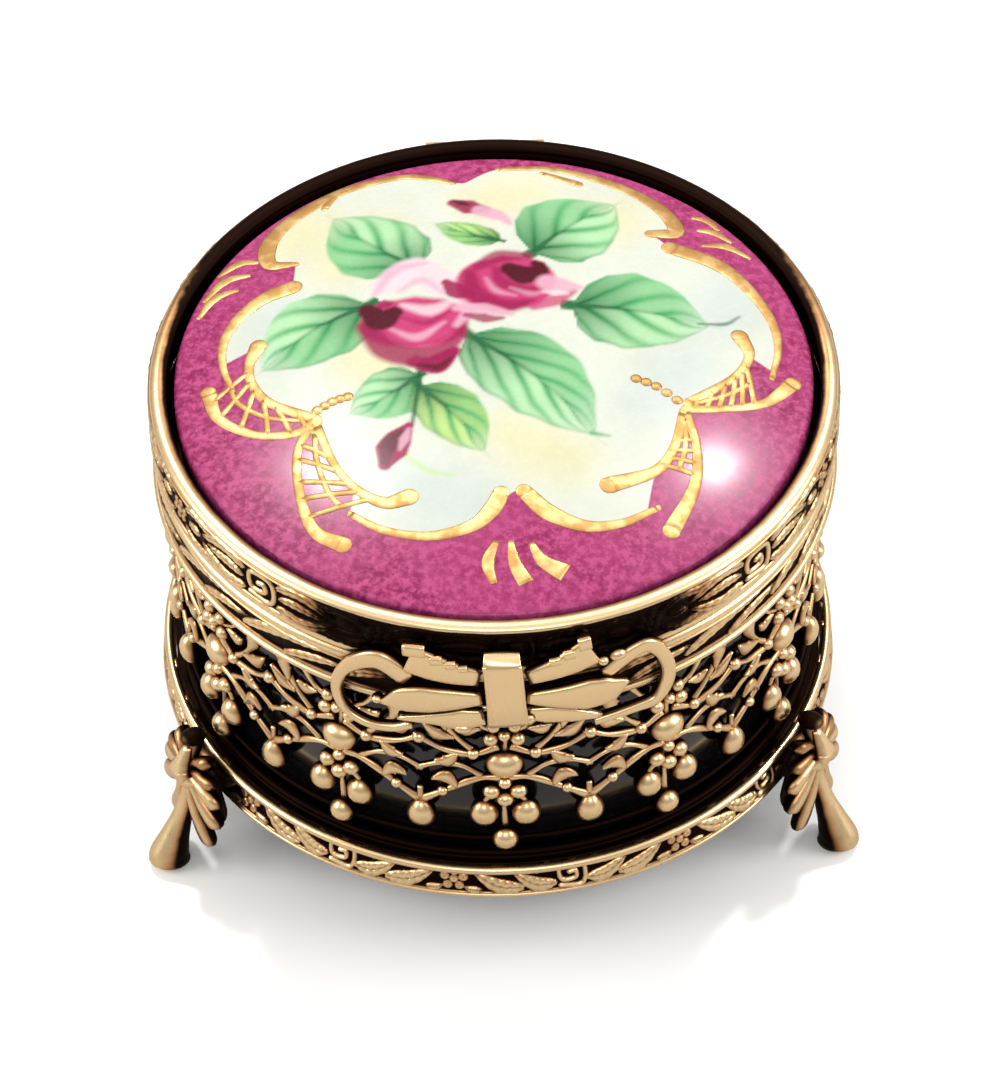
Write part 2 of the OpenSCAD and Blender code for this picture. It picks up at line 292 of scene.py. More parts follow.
def brass(name, wear=0.0, relief="relief", bump=0.04, gold=None, tan=None):
    """Brass finish. relief names the vertex value to follow, or is one number for a smooth piece."""
    material = bpy.data.materials.new(name)
    nodes, link = nodes_of(material)
    shader = nodes["Principled BSDF"]
    shader.inputs["Metallic"].default_value = 1.0
    patina = nodes.new("ShaderNodeGroup")
    patina.node_tree = patina_group
    place = nodes.new("ShaderNodeTexCoord")
    link(place.outputs["Object"], patina.inputs["Vector"])
    patina.inputs["Wear"].default_value = wear
    for label, colour in (("Gold", gold), ("Tan", tan)):
        if colour:
            patina.inputs[label].default_value = colour
    if isinstance(relief, str):
        carried = nodes.new("ShaderNodeAttribute")
        carried.attribute_name = relief
        link(carried.outputs["Fac"], patina.inputs["Relief"])
    else:
        shade = nodes.new("ShaderNodeAmbientOcclusion")
        shade.inputs["Distance"].default_value = 1.6 * MM
        shade.samples = 6
        link(mapped(nodes, link, shade.outputs["AO"], 0.1, 0.75, 0.0, relief), patina.inputs["Relief"])
    link(patina.outputs["Color"], shader.inputs["Base Color"])
    link(patina.outputs["Roughness"], shader.inputs["Roughness"])
    dented(nodes, link, shader, patina.outputs["Height"], 0.35, bump)
    return material


antique = brass("antique_brass")
cast = brass("cast_brass", wear=0.05)
bright = brass("bright_brass", relief=0.95, bump=0.02)
plain = brass("plain_brass", relief=0.62, bump=0.03)
blackened = brass("blackened_brass", relief=0.0, bump=0.03)
print("brass finishes", [m.name for m in (antique, cast, bright, plain, blackened)])

# %% [markdown]
# ## From numbers to a mesh
# Every ornament is worked out as arrays of points, with a relief value for each point. One function
# makes the mesh, shades it smooth, turns the faces outwards and stores the relief as an attribute
# that the brass can read.

# %% Mesh helper
def solid(name, points, faces, relief=None, material=None):
    """Mesh object from points in millimetres, its relief values and its finish."""
    mesh = bpy.data.meshes.new(name)
    mesh.from_pydata((np.asarray(points) * MM).tolist(), [], faces)
    shape = bmesh.new()
    shape.from_mesh(mesh)
    bmesh.ops.recalc_face_normals(shape, faces=shape.faces)
    shape.to_mesh(mesh)
    shape.free()
    mesh.polygons.foreach_set("use_smooth", [True] * len(mesh.polygons))
    if relief is not None:
        carried = mesh.attributes.new("relief", "FLOAT", "POINT")
        carried.data.foreach_set("value", np.asarray(relief, dtype=np.float32))
    if material:
        mesh.materials.append(material)
    return put(bpy.data.objects.new(name, mesh))


def joined(parts):
    """Several (points, faces, relief) parts as one."""
    points, faces, relief, start = [], [], [], 0
    for some_points, some_faces, some_relief in parts:
        points.append(some_points)
        faces += [tuple(start + corner for corner in face) for face in some_faces]
        relief.append(some_relief)
        start += len(some_points)
    return np.vstack(points), faces, np.concatenate(relief)


def lattice_faces(rows, columns, wrap_rows=True, wrap_columns=True):
    """Four-sided faces of a grid of points that closes on itself in either direction."""
    last_row = rows if wrap_rows else rows - 1
    last_column = columns if wrap_columns else columns - 1
    return [(i * columns + j, (i + 1) % rows * columns + j,
             (i + 1) % rows * columns + (j + 1) % columns, i * columns + (j + 1) % columns)
            for i in range(last_row) for j in range(last_column)]


def turned(section, around, rise=0.0, relief=1.0):
    """Closed section of (radius, height) points turned about the axis, starting at the front.
    rise moves each point outwards: one number, or an array of around by section points."""
    section = np.array(section, float)
    angle = np.arange(around) * 2 * math.pi / around - math.pi / 2
    radius = section[None, :, 0] + np.zeros((around, 1)) + rise
    height = np.broadcast_to(section[None, :, 1], radius.shape)
    points = np.stack([radius * np.cos(angle)[:, None], radius * np.sin(angle)[:, None], height], -1)
    faces = lattice_faces(around, len(section))
    return points.reshape(-1, 3), faces, np.broadcast_to(relief, radius.shape).ravel()


# %% [markdown]
# ## Drawing on a strip
# The three embossed bands were rolled from flat strip. The pattern is a height field over one
# repeat of the strip: each leaf, stem and curl is a raised line of changing width, and the highest
# wins. A distance to a drawn line is all the drawing that is needed.

# %% Raised lines
def flowing(points, per=8):
    """Smooth curve through given points (Catmull-Rom), with per steps between two."""
    points = np.array(points, float)
    padded = np.vstack([2 * points[0] - points[1], points, 2 * points[-1] - points[-2]])
    steps = np.linspace(0, 1, per, endpoint=False)[:, None]
    pieces = []
    for before, here, after, beyond in zip(padded, padded[1:], padded[2:], padded[3:]):
        pieces.append(0.5 * (2 * here + (after - before) * steps
                             + (2 * before - 5 * here + 4 * after - beyond) * steps ** 2
                             + (3 * here - before - 3 * after + beyond) * steps ** 3))
    return np.vstack(pieces + [points[-1:]])


def reach_of(across, up, line):
    """For each point (across, up): distance to a drawn line, how far along it (0 to 1) and the side."""
    line = np.asarray(line, float)
    lengths = np.linalg.norm(np.diff(line, axis=0), axis=1)
    total = np.concatenate([[0], np.cumsum(lengths)])
    best = np.full(across.shape, 1e9)
    along = np.zeros(across.shape)
    side = np.zeros(across.shape)
    for k, (start, end) in enumerate(zip(line, line[1:])):
        step = end - start
        size = max(float(step @ step), 1e-12)
        t = np.clip(((across - start[0]) * step[0] + (up - start[1]) * step[1]) / size, 0, 1)
        dx, dy = across - start[0] - t * step[0], up - start[1] - t * step[1]
        away = np.hypot(dx, dy)
        nearer = away < best
        best = np.where(nearer, away, best)
        along = np.where(nearer, (total[k] + t * lengths[k]) / total[-1], along)
        side = np.where(nearer, np.sign(step[0] * dy - step[1] * dx), side)
    return best, along, side


def raised_line(across, up, points, width, height=1.0):
    """Round ridge along a curve."""
    away, along, _ = reach_of(across, up, flowing(points))
    return height * np.sqrt(np.clip(1 - (2 * away / width) ** 2, 0, 1))


def raised_leaf(across, up, points, width, height=1.0, vein=0.5):
    """Leaf along a curve from its stalk to its tip, with a groove for the midrib and side veins."""
    away, along, side = reach_of(across, up, flowing(points))
    half = width / 2 * np.sin(math.pi * np.clip(along, 0, 1) ** 0.75) ** 0.8 + 1e-6
    body = np.sqrt(np.clip(1 - (away / half) ** 2, 0, 1))
    groove = vein * np.exp(-(away / 0.11) ** 2)
    barbs = 0.12 * np.sin(along * 40 + away * 3)
    return height * np.where(away < half, np.clip(body ** 0.5 - groove + barbs * body, 0.12, 1), 0)


def raised_disc(across, up, place, size, height=1.0):
    """Round boss with a dimple."""
    away = np.hypot(across - place[0], up - place[1]) / (size / 2)
    boss = np.sqrt(np.clip(1 - away ** 2, 0, 1)) - 0.4 * np.exp(-(away / 0.3) ** 2)
    return height * np.where(away < 1, boss, 0)


def square_curl(size, middle):
    """Corners of a squarish spiral, from the outside in."""
    half = size / 2
    corners = [(-half, -half), (half, -half), (half, half), (-half * 0.9, half), (-half * 0.9, -half * 0.35),
               (half * 0.35, -half * 0.35), (half * 0.35, half * 0.35), (-half * 0.2, half * 0.3)]
    return [(middle[0] + x, middle[1] + y) for x, y in corners]


def band_pattern(repeats, columns, heights, draw):
    """Relief of a whole band: one repeat is drawn on a grid of columns by heights, then repeated."""
    pitch = 2 * math.pi * lid_r / repeats
    across = (np.arange(columns) / columns - 0.5) * pitch
    grid_across, grid_up = np.meshgrid(across, heights, indexing="ij")
    one = draw(grid_across, grid_up, pitch)
    half = columns // 2
    return np.roll(np.tile(one, (repeats, 1)), -half, axis=0)


# %% [markdown]
# ## Embossed bands
# The lid band has long pointed leaves that spring from a squared curl and meet at a small flower.
# The base band has the curl and the flower too, with broad slanting leaves between them. The collar
# has long leaves that slant and overlap.

# %% Lid band
def edge_lines(relief, up, tall, edges, thin):
    """Adds a thin raised line along the strip at each of the given shares of its height."""
    for edge in edges:
        relief = np.maximum(relief, 0.9 * np.clip(1.5 - np.abs(up - edge * tall) / (thin * tall), 0, 1))
    return relief


def curl_and_flower(across, up, pitch, tall, curl, leaves, flower):
    """Squared curl in the middle, leaves on both sides, and a flower where two repeats meet. curl is
    its size and its line's width; flower is its eye, number of petals, reach across and up, and petal."""
    curl_size, curl_line = curl
    eye, petals, reach_across, reach_up, petal_size = flower
    relief = raised_line(across, up, square_curl(tall * curl_size, (0, tall / 2)), tall * curl_line)
    for side in (-1, 1):
        for line, wide in leaves:
            points = [(side * (x * tall + share * pitch), y * tall) for x, share, y in line]
            relief = np.maximum(relief, raised_leaf(across, up, points, tall * wide))
        relief = np.maximum(relief, raised_disc(across, up, (side * pitch / 2, tall / 2), tall * eye))
        for k in range(petals):
            turn = k * math.pi * 2 / petals + 0.3
            petal = (side * pitch / 2 + tall * reach_across * math.cos(turn),
                     tall / 2 + tall * reach_up * math.sin(turn))
            relief = np.maximum(relief, raised_disc(across, up, petal, tall * petal_size, 0.9))
    return relief


def leaves_and_curl(across, up, pitch, tall):
    """Long overlapping leaves on both sides of the curl."""
    leaves = [([(0.44, 0.0, 0.78), (0, 0.19, 0.94), (0, 0.335, 0.60)], 0.36),
              ([(0.44, 0.0, 0.22), (0, 0.19, 0.06), (0, 0.335, 0.40)], 0.36),
              ([(0.50, 0.0, 0.50), (0, 0.17, 0.55), (0, 0.30, 0.49)], 0.26),
              ([(0, 0.27, 0.86), (0, 0.37, 0.98), (0, 0.46, 0.74)], 0.30),
              ([(0, 0.27, 0.14), (0, 0.37, 0.02), (0, 0.46, 0.26)], 0.30),
              ([(0, 0.34, 0.52), (0, 0.38, 0.50), (0, 0.43, 0.50)], 0.26)]
    relief = curl_and_flower(across, up, pitch, tall, (0.62, 0.15), leaves, (0.24, 6, 0.22, 0.22, 0.22))
    return edge_lines(relief, up, tall, (0.03, 0.97), 0.035)


def band_with_relief(name, inner, low, high, rise, pattern_repeats, draw, rows, columns, material,
                     painted_shade_front=0, phase=0):
    """Band from its inner wall and its sloping outer face (low and high, each radius and height).
    Within a half angle at the front, in degrees, given after the material, the band is darkened as
    painted shade, and phase turns the pattern about the axis, in degrees."""
    share = np.linspace(0, 1, rows)
    face = [(low[0] + (high[0] - low[0]) * t, low[1] + (high[1] - low[1]) * t) for t in share]
    section = face + [(high[0] - 0.3, high[1] + 0.12), (inner, high[1] + 0.05), (inner, low[1]),
                      (low[0] - 0.3, low[1] - 0.1)]
    tall = math.dist(low, high)
    pattern = band_pattern(pattern_repeats, columns, share * tall, lambda a, u, p: draw(a, u, p, tall))
    pattern = np.roll(pattern, round(phase / 360 * len(pattern)), axis=0)
    outward = np.zeros((pattern.shape[0], len(section)))
    outward[:, :rows] = pattern * rise
    relief = np.zeros_like(outward)
    relief[:, :rows] = pattern
    relief[:, rows] = relief[:, -1] = 0.5
    if painted_shade_front:
        # Painted shade: within that angle of the front the band is darkened, as under the lip and the bow
        turn = np.abs((np.arange(len(relief)) * 360 / len(relief) + 180) % 360 - 180)
        buffed = np.clip((turn - painted_shade_front) / 14, 0, 1)
        relief *= (0.30 + 0.70 * buffed ** 2 * (3 - 2 * buffed))[:, None]
    points, faces, relief = turned(section, pattern.shape[0], outward, relief)
    return solid(name, points, faces, relief, material)


LID_PHASE = 2              # degrees from the front to the first curl of the lid
LID_RIM = 1.5              # height of the plain rolled rim under the lid's pattern
lid_band = band_with_relief("lid_band_embossed", lid_r - 1.7, (lid_r - 0.35, lid_z + LID_RIM),
                            (lid_r - 0.35, lid_top - 0.15), 0.5, 8, leaves_and_curl, 38, 180, antique,
                            painted_shade_front=27, phase=LID_PHASE)
print("lid band", len(lid_band.data.polygons), "faces")

# %% Base band
def bold_leaves(across, up, pitch, tall):
    """Two broad slanting leaves on either side of the curl, with small ones between."""
    leaves = [([(0.45, 0.0, 0.30), (0, 0.15, 0.30), (0, 0.25, 0.78)], 0.52),
              ([(0.0, 0.20, 0.22), (0, 0.31, 0.30), (0, 0.42, 0.80)], 0.54),
              ([(0.50, 0.0, 0.86), (0, 0.11, 0.88), (0, 0.17, 0.72)], 0.26),
              ([(0.0, 0.28, 0.90), (0, 0.33, 0.92), (0, 0.36, 0.76)], 0.24),
              ([(0.0, 0.38, 0.14), (0, 0.43, 0.16), (0, 0.46, 0.26)], 0.22)]
    relief = curl_and_flower(across, up, pitch, tall, (0.70, 0.17), leaves, (0.30, 5, 0.30, 0.28, 0.34))
    return edge_lines(relief, up, tall, (0.03,), 0.035)


BASE_PHASE = 11            # degrees from the front to the first curl of the base
base_band = band_with_relief("base_band_embossed", base_r - 1.8, (base_r - 0.55, base_z + 0.6),
                             (base_r - 1.5, base_band_top + 0.6), 0.55, 9, bold_leaves, 30, 170, antique,
                             phase=BASE_PHASE)
print("base band", len(base_band.data.polygons), "faces")

# %% Collar band
def slanting_leaves(across, up, pitch, tall):
    """Long slanting leaves that overlap like thatch."""
    relief = np.zeros_like(across)
    leaves = ((-0.42, 0.25, 0.90, 0.42), (0.04, 0.10, 0.62, 0.36), (-0.12, 0.75, 0.98, 0.30))
    for k in (-1, 0, 1):
        for foot, low, high, wide in leaves:
            start = k * pitch + foot * pitch
            line = [(start, tall * low), (start + pitch * 0.28, tall * (low * 0.35 + high * 0.65)),
                    (start + pitch * 0.62, tall * high)]
            relief = np.maximum(relief, raised_leaf(across, up, line, tall * wide))
    return edge_lines(relief, up, tall, (0.03, 0.97), 0.04)


collar_r, collar_z, collar_top = span("collar_band")
collar_band = band_with_relief("collar_band_embossed", collar_r - 1.4, (collar_r - 0.45, collar_z + 1.0),
                               (collar_r - 0.35, collar_top), 0.5, 18, slanting_leaves, 26, 80, antique, 16)
print("collar band", len(collar_band.data.polygons), "faces")

# %% [markdown]
# ## Wires and rolled edges
# The bead, the wires and the rolled edges are drawn wire or rolled sheet, bent into hoops. A node
# tree sweeps a round profile along a circle, from four sizes. The lip is wider than it is tall and
# carries painted light, bright at the front, shaded at the back and on its inner side, with a painted
# highlight on its outer edge, so it is turned from a section, as the bands are.

# %% Hoop tree
def sockets_tree(name, inputs):
    """Geometry tree with a geometry output and the named inputs, each (label, socket type)."""
    tree = bpy.data.node_groups.new(name, "GeometryNodeTree")
    for label, kind in inputs:
        tree.interface.new_socket(label, in_out="INPUT", socket_type=kind)
    tree.interface.new_socket("Geometry", in_out="OUTPUT", socket_type="NodeSocketGeometry")
    return tree, tree.nodes.new("NodeGroupInput"), tree.nodes.new("NodeGroupOutput")


def grown(name, tree, values, seed_mesh=None):
    """Plain mesh object from a geometry tree whose inputs are set by name."""
    carrier = put(bpy.data.objects.new(name + "_carrier", seed_mesh or bpy.data.meshes.new(name + "_seed")))
    growth = carrier.modifiers.new("Growth", "NODES")
    growth.node_group = tree
    for item in tree.interface.items_tree:
        if item.in_out == "INPUT" and item.name in values:
            growth[item.identifier] = values[item.name]
    bpy.context.view_layer.update()
    graph = bpy.context.evaluated_depsgraph_get()
    mesh = bpy.data.meshes.new_from_object(carrier.evaluated_get(graph), depsgraph=graph)
    bpy.data.objects.remove(carrier)
    mesh.name = name
    return put(bpy.data.objects.new(name, mesh))


def finished(nodes, link, geometry, source, result):
    """Ends a geometry tree: real geometry, in the finish that its input names."""
    real = nodes.new("GeometryNodeRealizeInstances")
    link(geometry, real.inputs["Geometry"])
    coat = nodes.new("GeometryNodeSetMaterial")
    link(real.outputs["Geometry"], coat.inputs["Geometry"])
    link(source.outputs["Finish"], coat.inputs["Material"])
    link(coat.outputs["Geometry"], result.inputs["Geometry"])


hoop_tree, source, result = sockets_tree("Hoop", [
    ("Hoop radius", FLOAT), ("Wire radius", FLOAT), ("Height", FLOAT), ("Flatness", FLOAT),
    ("Finish", "NodeSocketMaterial")])
nodes, link = hoop_tree.nodes, hoop_tree.links.new
rail = nodes.new("GeometryNodeCurvePrimitiveCircle")
rail.inputs["Resolution"].default_value = 256
link(source.outputs["Hoop radius"], rail.inputs["Radius"])
profile = nodes.new("GeometryNodeCurvePrimitiveCircle")
profile.inputs["Resolution"].default_value = 18
link(source.outputs["Wire radius"], profile.inputs["Radius"])
press = nodes.new("ShaderNodeCombineXYZ")
press.inputs["X"].default_value = 1.0
press.inputs["Z"].default_value = 1.0
link(source.outputs["Flatness"], press.inputs["Y"])
pressed = nodes.new("GeometryNodeTransform")
link(profile.outputs["Curve"], pressed.inputs["Geometry"])
link(press.outputs["Vector"], pressed.inputs["Scale"])
sweep = nodes.new("GeometryNodeCurveToMesh")
link(rail.outputs["Curve"], sweep.inputs["Curve"])
link(pressed.outputs["Geometry"], sweep.inputs["Profile Curve"])
lift = nodes.new("ShaderNodeCombineXYZ")
link(source.outputs["Height"], lift.inputs["Z"])
lifted = nodes.new("GeometryNodeTransform")
link(sweep.outputs["Mesh"], lifted.inputs["Geometry"])
link(lift.outputs["Vector"], lifted.inputs["Translation"])
smooth = nodes.new("GeometryNodeSetShadeSmooth")
link(lifted.outputs["Geometry"], smooth.inputs["Geometry"])
finished(nodes, link, smooth.outputs["Geometry"], source, result)


def hoop(name, outer, wire, height, flatness=1.0, finish=bright):
    """Hoop of round wire: its outer radius, its diameter across the wire and its middle height."""
    return grown(name, hoop_tree, {
        "Hoop radius": (outer - wire / 2) * MM, "Wire radius": wire / 2 * MM, "Height": height * MM,
        "Flatness": flatness, "Finish": finish})


bead_r, _, bead_top = span("base_bead")
wire_r, wire_z, _ = span("collar_wire")
roll_r, roll_z, roll_top = span("collar_roll")
lip_r, _, lip_top = span("lid_lip")
BEAD = 1.15                # wire of the bead that stands on the base band
bead = hoop("bead_of_base", bead_r, BEAD, bead_top - BEAD / 2)
foot_roll = hoop("rolled_foot_of_base", base_r, 0.7, base_z + 0.4)
collar_wire = hoop("wire_under_collar", wire_r, 1.0, wire_z + 0.5)
collar_roll = hoop("rolled_top_of_collar", roll_r, roll_top - roll_z, (roll_z + roll_top) / 2)
LIP, LIP_TALL = 2.2, 1.4      # width and height of the rolled lip
lip_turn = np.linspace(0, 2 * math.pi, 20, endpoint=False)
lip_section = [(lip_r - LIP / 2 + LIP / 2 * math.cos(a), lip_top - LIP_TALL / 2 + LIP_TALL / 2 * math.sin(a))
               for a in lip_turn]
LIP_ROUND = 256
lip_angle = np.abs((np.arange(LIP_ROUND) * 360 / LIP_ROUND + 180) % 360 - 180)
# Painted light: the front and the sides are painted bright and the back dark as shade; the inner side
# of the roll is painted darker and its outer edge gets a painted highlight
lit_front_shaded_back = np.interp(lip_angle, [0, 88, 122, 180], [1, 0.85, 0.25, 0.2])
painted_edge_highlight = np.exp(-((lip_turn - 0.35) / 0.42) ** 2)
lip_painted_light = np.clip(lit_front_shaded_back[:, None] * np.interp(np.cos(lip_turn), [-1, -0.3, 0.3], [0.2, 0.7, 1])
                     + 0.6 * painted_edge_highlight, 0, 1)
lip = solid("rolled_lip_of_lid", *turned(lip_section, LIP_ROUND, 0, lip_painted_light), antique)
lid_rim = hoop("rolled_rim_of_lid", lid_r - 0.1, 1.3, lid_z + 0.75, 1.15)
print("hoop faces", len(bead.data.polygons))

# %% [markdown]
# ## Ornament on a surface
# Vines, berries, petals and gilt scrolls all lie on a surface: the wall, the bow's shell or the
# plaque. They are made flat, as (across, up, out), then laid on the surface by a function. A sweep
# with its own width and thickness at each point serves for all of them.

# %% Sweeps and berries
def resampled(values, count):
    """A few given values spread smoothly over count stations."""
    values = np.atleast_1d(np.array(values, float))
    if len(values) == 1:
        return np.full(count, values[0])
    return np.interp(np.linspace(0, 1, count), np.linspace(0, 1, len(values)), values)


def swept(points, width, thick, out=0.0, sides=10, per=6, square=1.0, tip=0.0, shade=1.0):
    """Flat-space sweep along a curve through points (across, up) or (across, up, out).
    width and thick are a number or a few numbers from start to end. square below 1 makes the section
    boxier, tip rounds off that share of the far end, and shade dims the relief: a lighter buff on the
    vines, painted shade on pieces that lie low."""
    path = flowing(points, per)
    count = len(path)
    if path.shape[1] == 2:
        path = np.hstack([path, np.zeros((count, 1))])
    path[:, 2] += resampled(out, count)
    ahead = np.gradient(path[:, :2], axis=0)
    ahead /= np.linalg.norm(ahead, axis=1)[:, None] + 1e-9
    sideways = np.stack([-ahead[:, 1], ahead[:, 0]], -1)
    turn = np.arange(sides) * 2 * math.pi / sides
    c = np.sign(np.cos(turn)) * np.abs(np.cos(turn)) ** square
    s = np.sign(np.sin(turn)) * np.abs(np.sin(turn)) ** square
    widths = resampled(width, count) / 2
    thicks = resampled(thick, count) / 2
    if tip:
        share = np.clip((np.linspace(0, 1, count) - 1 + tip) / tip, 0, 0.995)
        widths = widths * np.sqrt(1 - share ** 2)
        thicks = thicks * np.sqrt(1 - share ** 2)
    rings = np.zeros((count, sides, 3))
    rings[:, :, :2] = path[:, None, :2] + sideways[:, None] * (c[None, :, None] * widths[:, None, None])
    rings[:, :, 2] = path[:, None, 2] + s[None] * thicks[:, None]
    relief = shade * np.clip(0.05 + 0.95 * np.where(s > -0.2, (s + 0.2) / 1.2, 0), 0, 1)
    caps = path[[0, -1]]
    points = np.vstack([rings.reshape(-1, 3), caps])
    faces = lattice_faces(count, sides, wrap_rows=False)
    first, last = count * sides, count * sides + 1
    faces += [(first, (j + 1) % sides, j) for j in range(sides)]
    faces += [(last, (count - 1) * sides + j, (count - 1) * sides + (j + 1) % sides) for j in range(sides)]
    return points, faces, np.concatenate([np.tile(relief, count), [0.4, 0.4]])


def berry(across, up, wide, tall, proud, out=0.0, around=14, rings=8, taper=0.0, shade=1.0):
    """Egg-shaped boss. proud is how far it stands out of the surface; taper narrows its upper end."""
    polar = np.linspace(0, math.pi, rings + 1)[1:-1]
    turn = np.arange(around) * 2 * math.pi / around
    x = np.sin(polar)[:, None] * np.cos(turn)
    y = np.sin(polar)[:, None] * np.sin(turn)
    z = np.cos(polar)[:, None] + 0 * turn
    narrow = 1 - taper * y
    points = np.stack([across + wide / 2 * x * narrow, up + tall / 2 * y, out + proud * z], -1).reshape(-1, 3)
    points = np.vstack([points, [[across, up, out + proud], [across, up, out - proud]]])
    faces = lattice_faces(len(polar), around, wrap_rows=False)
    top, low = len(points) - 2, len(points) - 1
    faces += [(top, j, (j + 1) % around) for j in range(around)]
    base = (len(polar) - 1) * around
    faces += [(low, base + (j + 1) % around, base + j) for j in range(around)]
    relief = shade * np.clip(0.1 + 1.1 * np.concatenate([np.clip(z.ravel(), -0.2, 1), [1, -0.2]]), 0, 1)
    return points, faces, relief


def on_cylinder(radius):
    """Lays (across, up, out) on a cylinder round the axis, with across 0 at the front."""
    def lay(points):
        angle = points[:, 0] / radius
        away = radius + points[:, 2]
        return np.stack([away * np.sin(angle), -away * np.cos(angle), points[:, 1]], -1)
    return lay


def laid(parts, lay):
    points, faces, relief = joined(parts)
    return lay(points), faces, relief


def mirrored(points):
    return [(-p[0], *p[1:]) for p in points]


# %% [markdown]
# ## Openwork wall
# The wall is a cast net of vines. One twelfth of it is drawn here: a cluster of berries on a stalk,
# curling vines with leaves, and pear drops where the vines of two clusters meet. A node tree then
# repeats it round the axis.

# %% One repeat of the wall
REPEATS = 12
half_pitch = math.pi * wall_r / REPEATS
VINE = 0.82                # how brightly the vines are buffed
wall_parts = []


def both_sides(points, *sizes, **more):
    wall_parts.append(swept(points, *sizes, shade=VINE, **more))
    wall_parts.append(swept(mirrored(points), *sizes, shade=VINE, **more))


foot = wall_z
wall_parts.append(swept([(0, foot + 30.6), (0.2, foot + 24), (-0.2, foot + 14), (0, foot + 5)],
                        1.0, 1.0, out=-0.4, shade=VINE))
both_sides([(0.6, foot + 15.8), (3.2, foot + 15.7), (7.0, foot + 13.4), (half_pitch - 0.3, foot + 10.4)],
           [1.4, 0.8, 1.3, 0.8, 1.5], 1.2, out=0.1)
both_sides([(0.8, foot + 21.8), (4.2, foot + 20.3), (8.0, foot + 21.0), (half_pitch + 0.6, foot + 23.2)],
           [1.3, 0.8, 1.3, 0.7, 1.2], 1.2, out=0.1)
both_sides([(3.8, foot + 20.6), (6.4, foot + 23.6), (8.8, foot + 27.2), (half_pitch, foot + 29.8)],
           [1.2, 0.7, 1.2, 0.7, 1.3], 1.1)
both_sides([(1.2, foot + 24.6), (3.8, foot + 26.4), (6.0, foot + 29.8)], [1.1, 0.7, 1.3], 1.0)
both_sides([(3.0, foot + 16.0), (5.6, foot + 17.8), (8.6, foot + 17.9), (half_pitch + 0.3, foot + 16.4)],
           [1.1, 0.7, 1.1, 0.7, 1.0], 1.0)
both_sides([(half_pitch, foot + 9.8), (half_pitch - 0.1, foot + 12.8)], 0.9, 1.0)
both_sides([(0.8, foot + 12.4), (2.2, foot + 11.6), (2.8, foot + 10.4)], 0.8, 0.9)
print("vines of one repeat", len(wall_parts))

# %% Leaves and berries of the wall
both_sides([(6.2, foot + 14.0), (7.6, foot + 15.6), (9.4, foot + 15.2)], [0.6, 2.7, 0.4], 1.2, out=0.3)
both_sides([(6.0, foot + 20.6), (7.4, foot + 18.8), (9.0, foot + 18.9)], [0.6, 2.5, 0.4], 1.2, out=0.3)
both_sides([(7.4, foot + 25.0), (8.2, foot + 27.4), (7.4, foot + 29.0)], [0.5, 2.7, 0.4], 1.2, out=0.3)
both_sides([(6.4, foot + 23.6), (8.6, foot + 23.9), (10.4, foot + 25.9)], [0.5, 2.5, 0.4], 1.2, out=0.3)
both_sides([(3.0, foot + 25.6), (4.8, foot + 25.0), (6.0, foot + 25.9)], [0.5, 2.3, 0.4], 1.1, out=0.3)
for side in (-1, 1):
    wall_parts.append(berry(side * 1.75, foot + 23.6, 2.1, 2.1, 1.2, 0.3))
    wall_parts.append(berry(side * 1.35, foot + 26.0, 1.9, 1.9, 1.1, 0.3))
    wall_parts.append(berry(side * 1.75, foot + 13.4, 2.4, 2.3, 1.3, 0.3))
    wall_parts.append(berry(side * 2.75, foot + 9.0, 3.8, 4.5, 1.8, 0.0, around=18, rings=10, taper=0.15))
    wall_parts.append(berry(side * 8.0, foot + 13.0, 1.6, 1.6, 1.0, 0.3))
    wall_parts.append(berry(side * 4.0, foot + 20.6, 1.8, 1.8, 1.1, 0.2))
wall_parts.append(berry(0, foot + 24.4, 1.7, 1.7, 1.3, 0.3))
wall_parts.append(berry(0, foot + 18.4, 5.0, 4.6, 2.0, -0.1, around=20, rings=12, taper=-0.12))
wall_parts.append(berry(0, foot + 12.0, 2.4, 2.3, 1.4, 0.3))
wall_parts.append(berry(0, foot + 15.0, 1.9, 1.8, 1.2, 0.2))
wall_parts.append(berry(0, foot + 4.0, 3.5, 3.8, 1.7, 0.1, around=18, rings=10, taper=0.15))
wall_parts.append(berry(half_pitch, foot + 8.0, 3.8, 5.0, 1.8, 0.0, around=18, rings=10, taper=0.28))
wall_parts.append(berry(half_pitch, foot + 22.8, 1.9, 1.9, 1.1, 0.2))
points, faces, relief = laid(wall_parts, on_cylinder(wall_r - 0.35))
wall_seed = solid("wall_repeat", points, faces, relief)
print("one repeat", len(faces), "faces")

# %% Repeat round the axis
repeat_tree, source, result = sockets_tree("Repeat round the axis", [
    ("Motif", "NodeSocketGeometry"), ("Repeats", "NodeSocketInt"), ("Finish", "NodeSocketMaterial")])
nodes, link = repeat_tree.nodes, repeat_tree.links.new
spots = nodes.new("GeometryNodeMeshLine")
spots.inputs["Offset"].default_value = (0, 0, 0)
link(source.outputs["Repeats"], spots.inputs["Count"])
number = nodes.new("GeometryNodeInputIndex")
share = nodes.new("ShaderNodeMath")
share.operation = "DIVIDE"
link(number.outputs["Index"], share.inputs[0])
link(source.outputs["Repeats"], share.inputs[1])
angle = nodes.new("ShaderNodeMath")
angle.operation = "MULTIPLY"
angle.inputs[1].default_value = 2 * math.pi
link(share.outputs[0], angle.inputs[0])
spin = nodes.new("ShaderNodeCombineXYZ")
link(angle.outputs[0], spin.inputs["Z"])
copies = nodes.new("GeometryNodeInstanceOnPoints")
link(spots.outputs["Mesh"], copies.inputs["Points"])
link(source.outputs["Motif"], copies.inputs["Instance"])
link(spin.outputs["Vector"], copies.inputs["Rotation"])
finished(nodes, link, copies.outputs["Instances"], source, result)
openwork = grown("openwork_vines", repeat_tree, {"Repeats": REPEATS, "Finish": cast}, wall_seed.data)
bpy.data.objects.remove(wall_seed)
print("openwork", len(openwork.data.polygons), "faces")

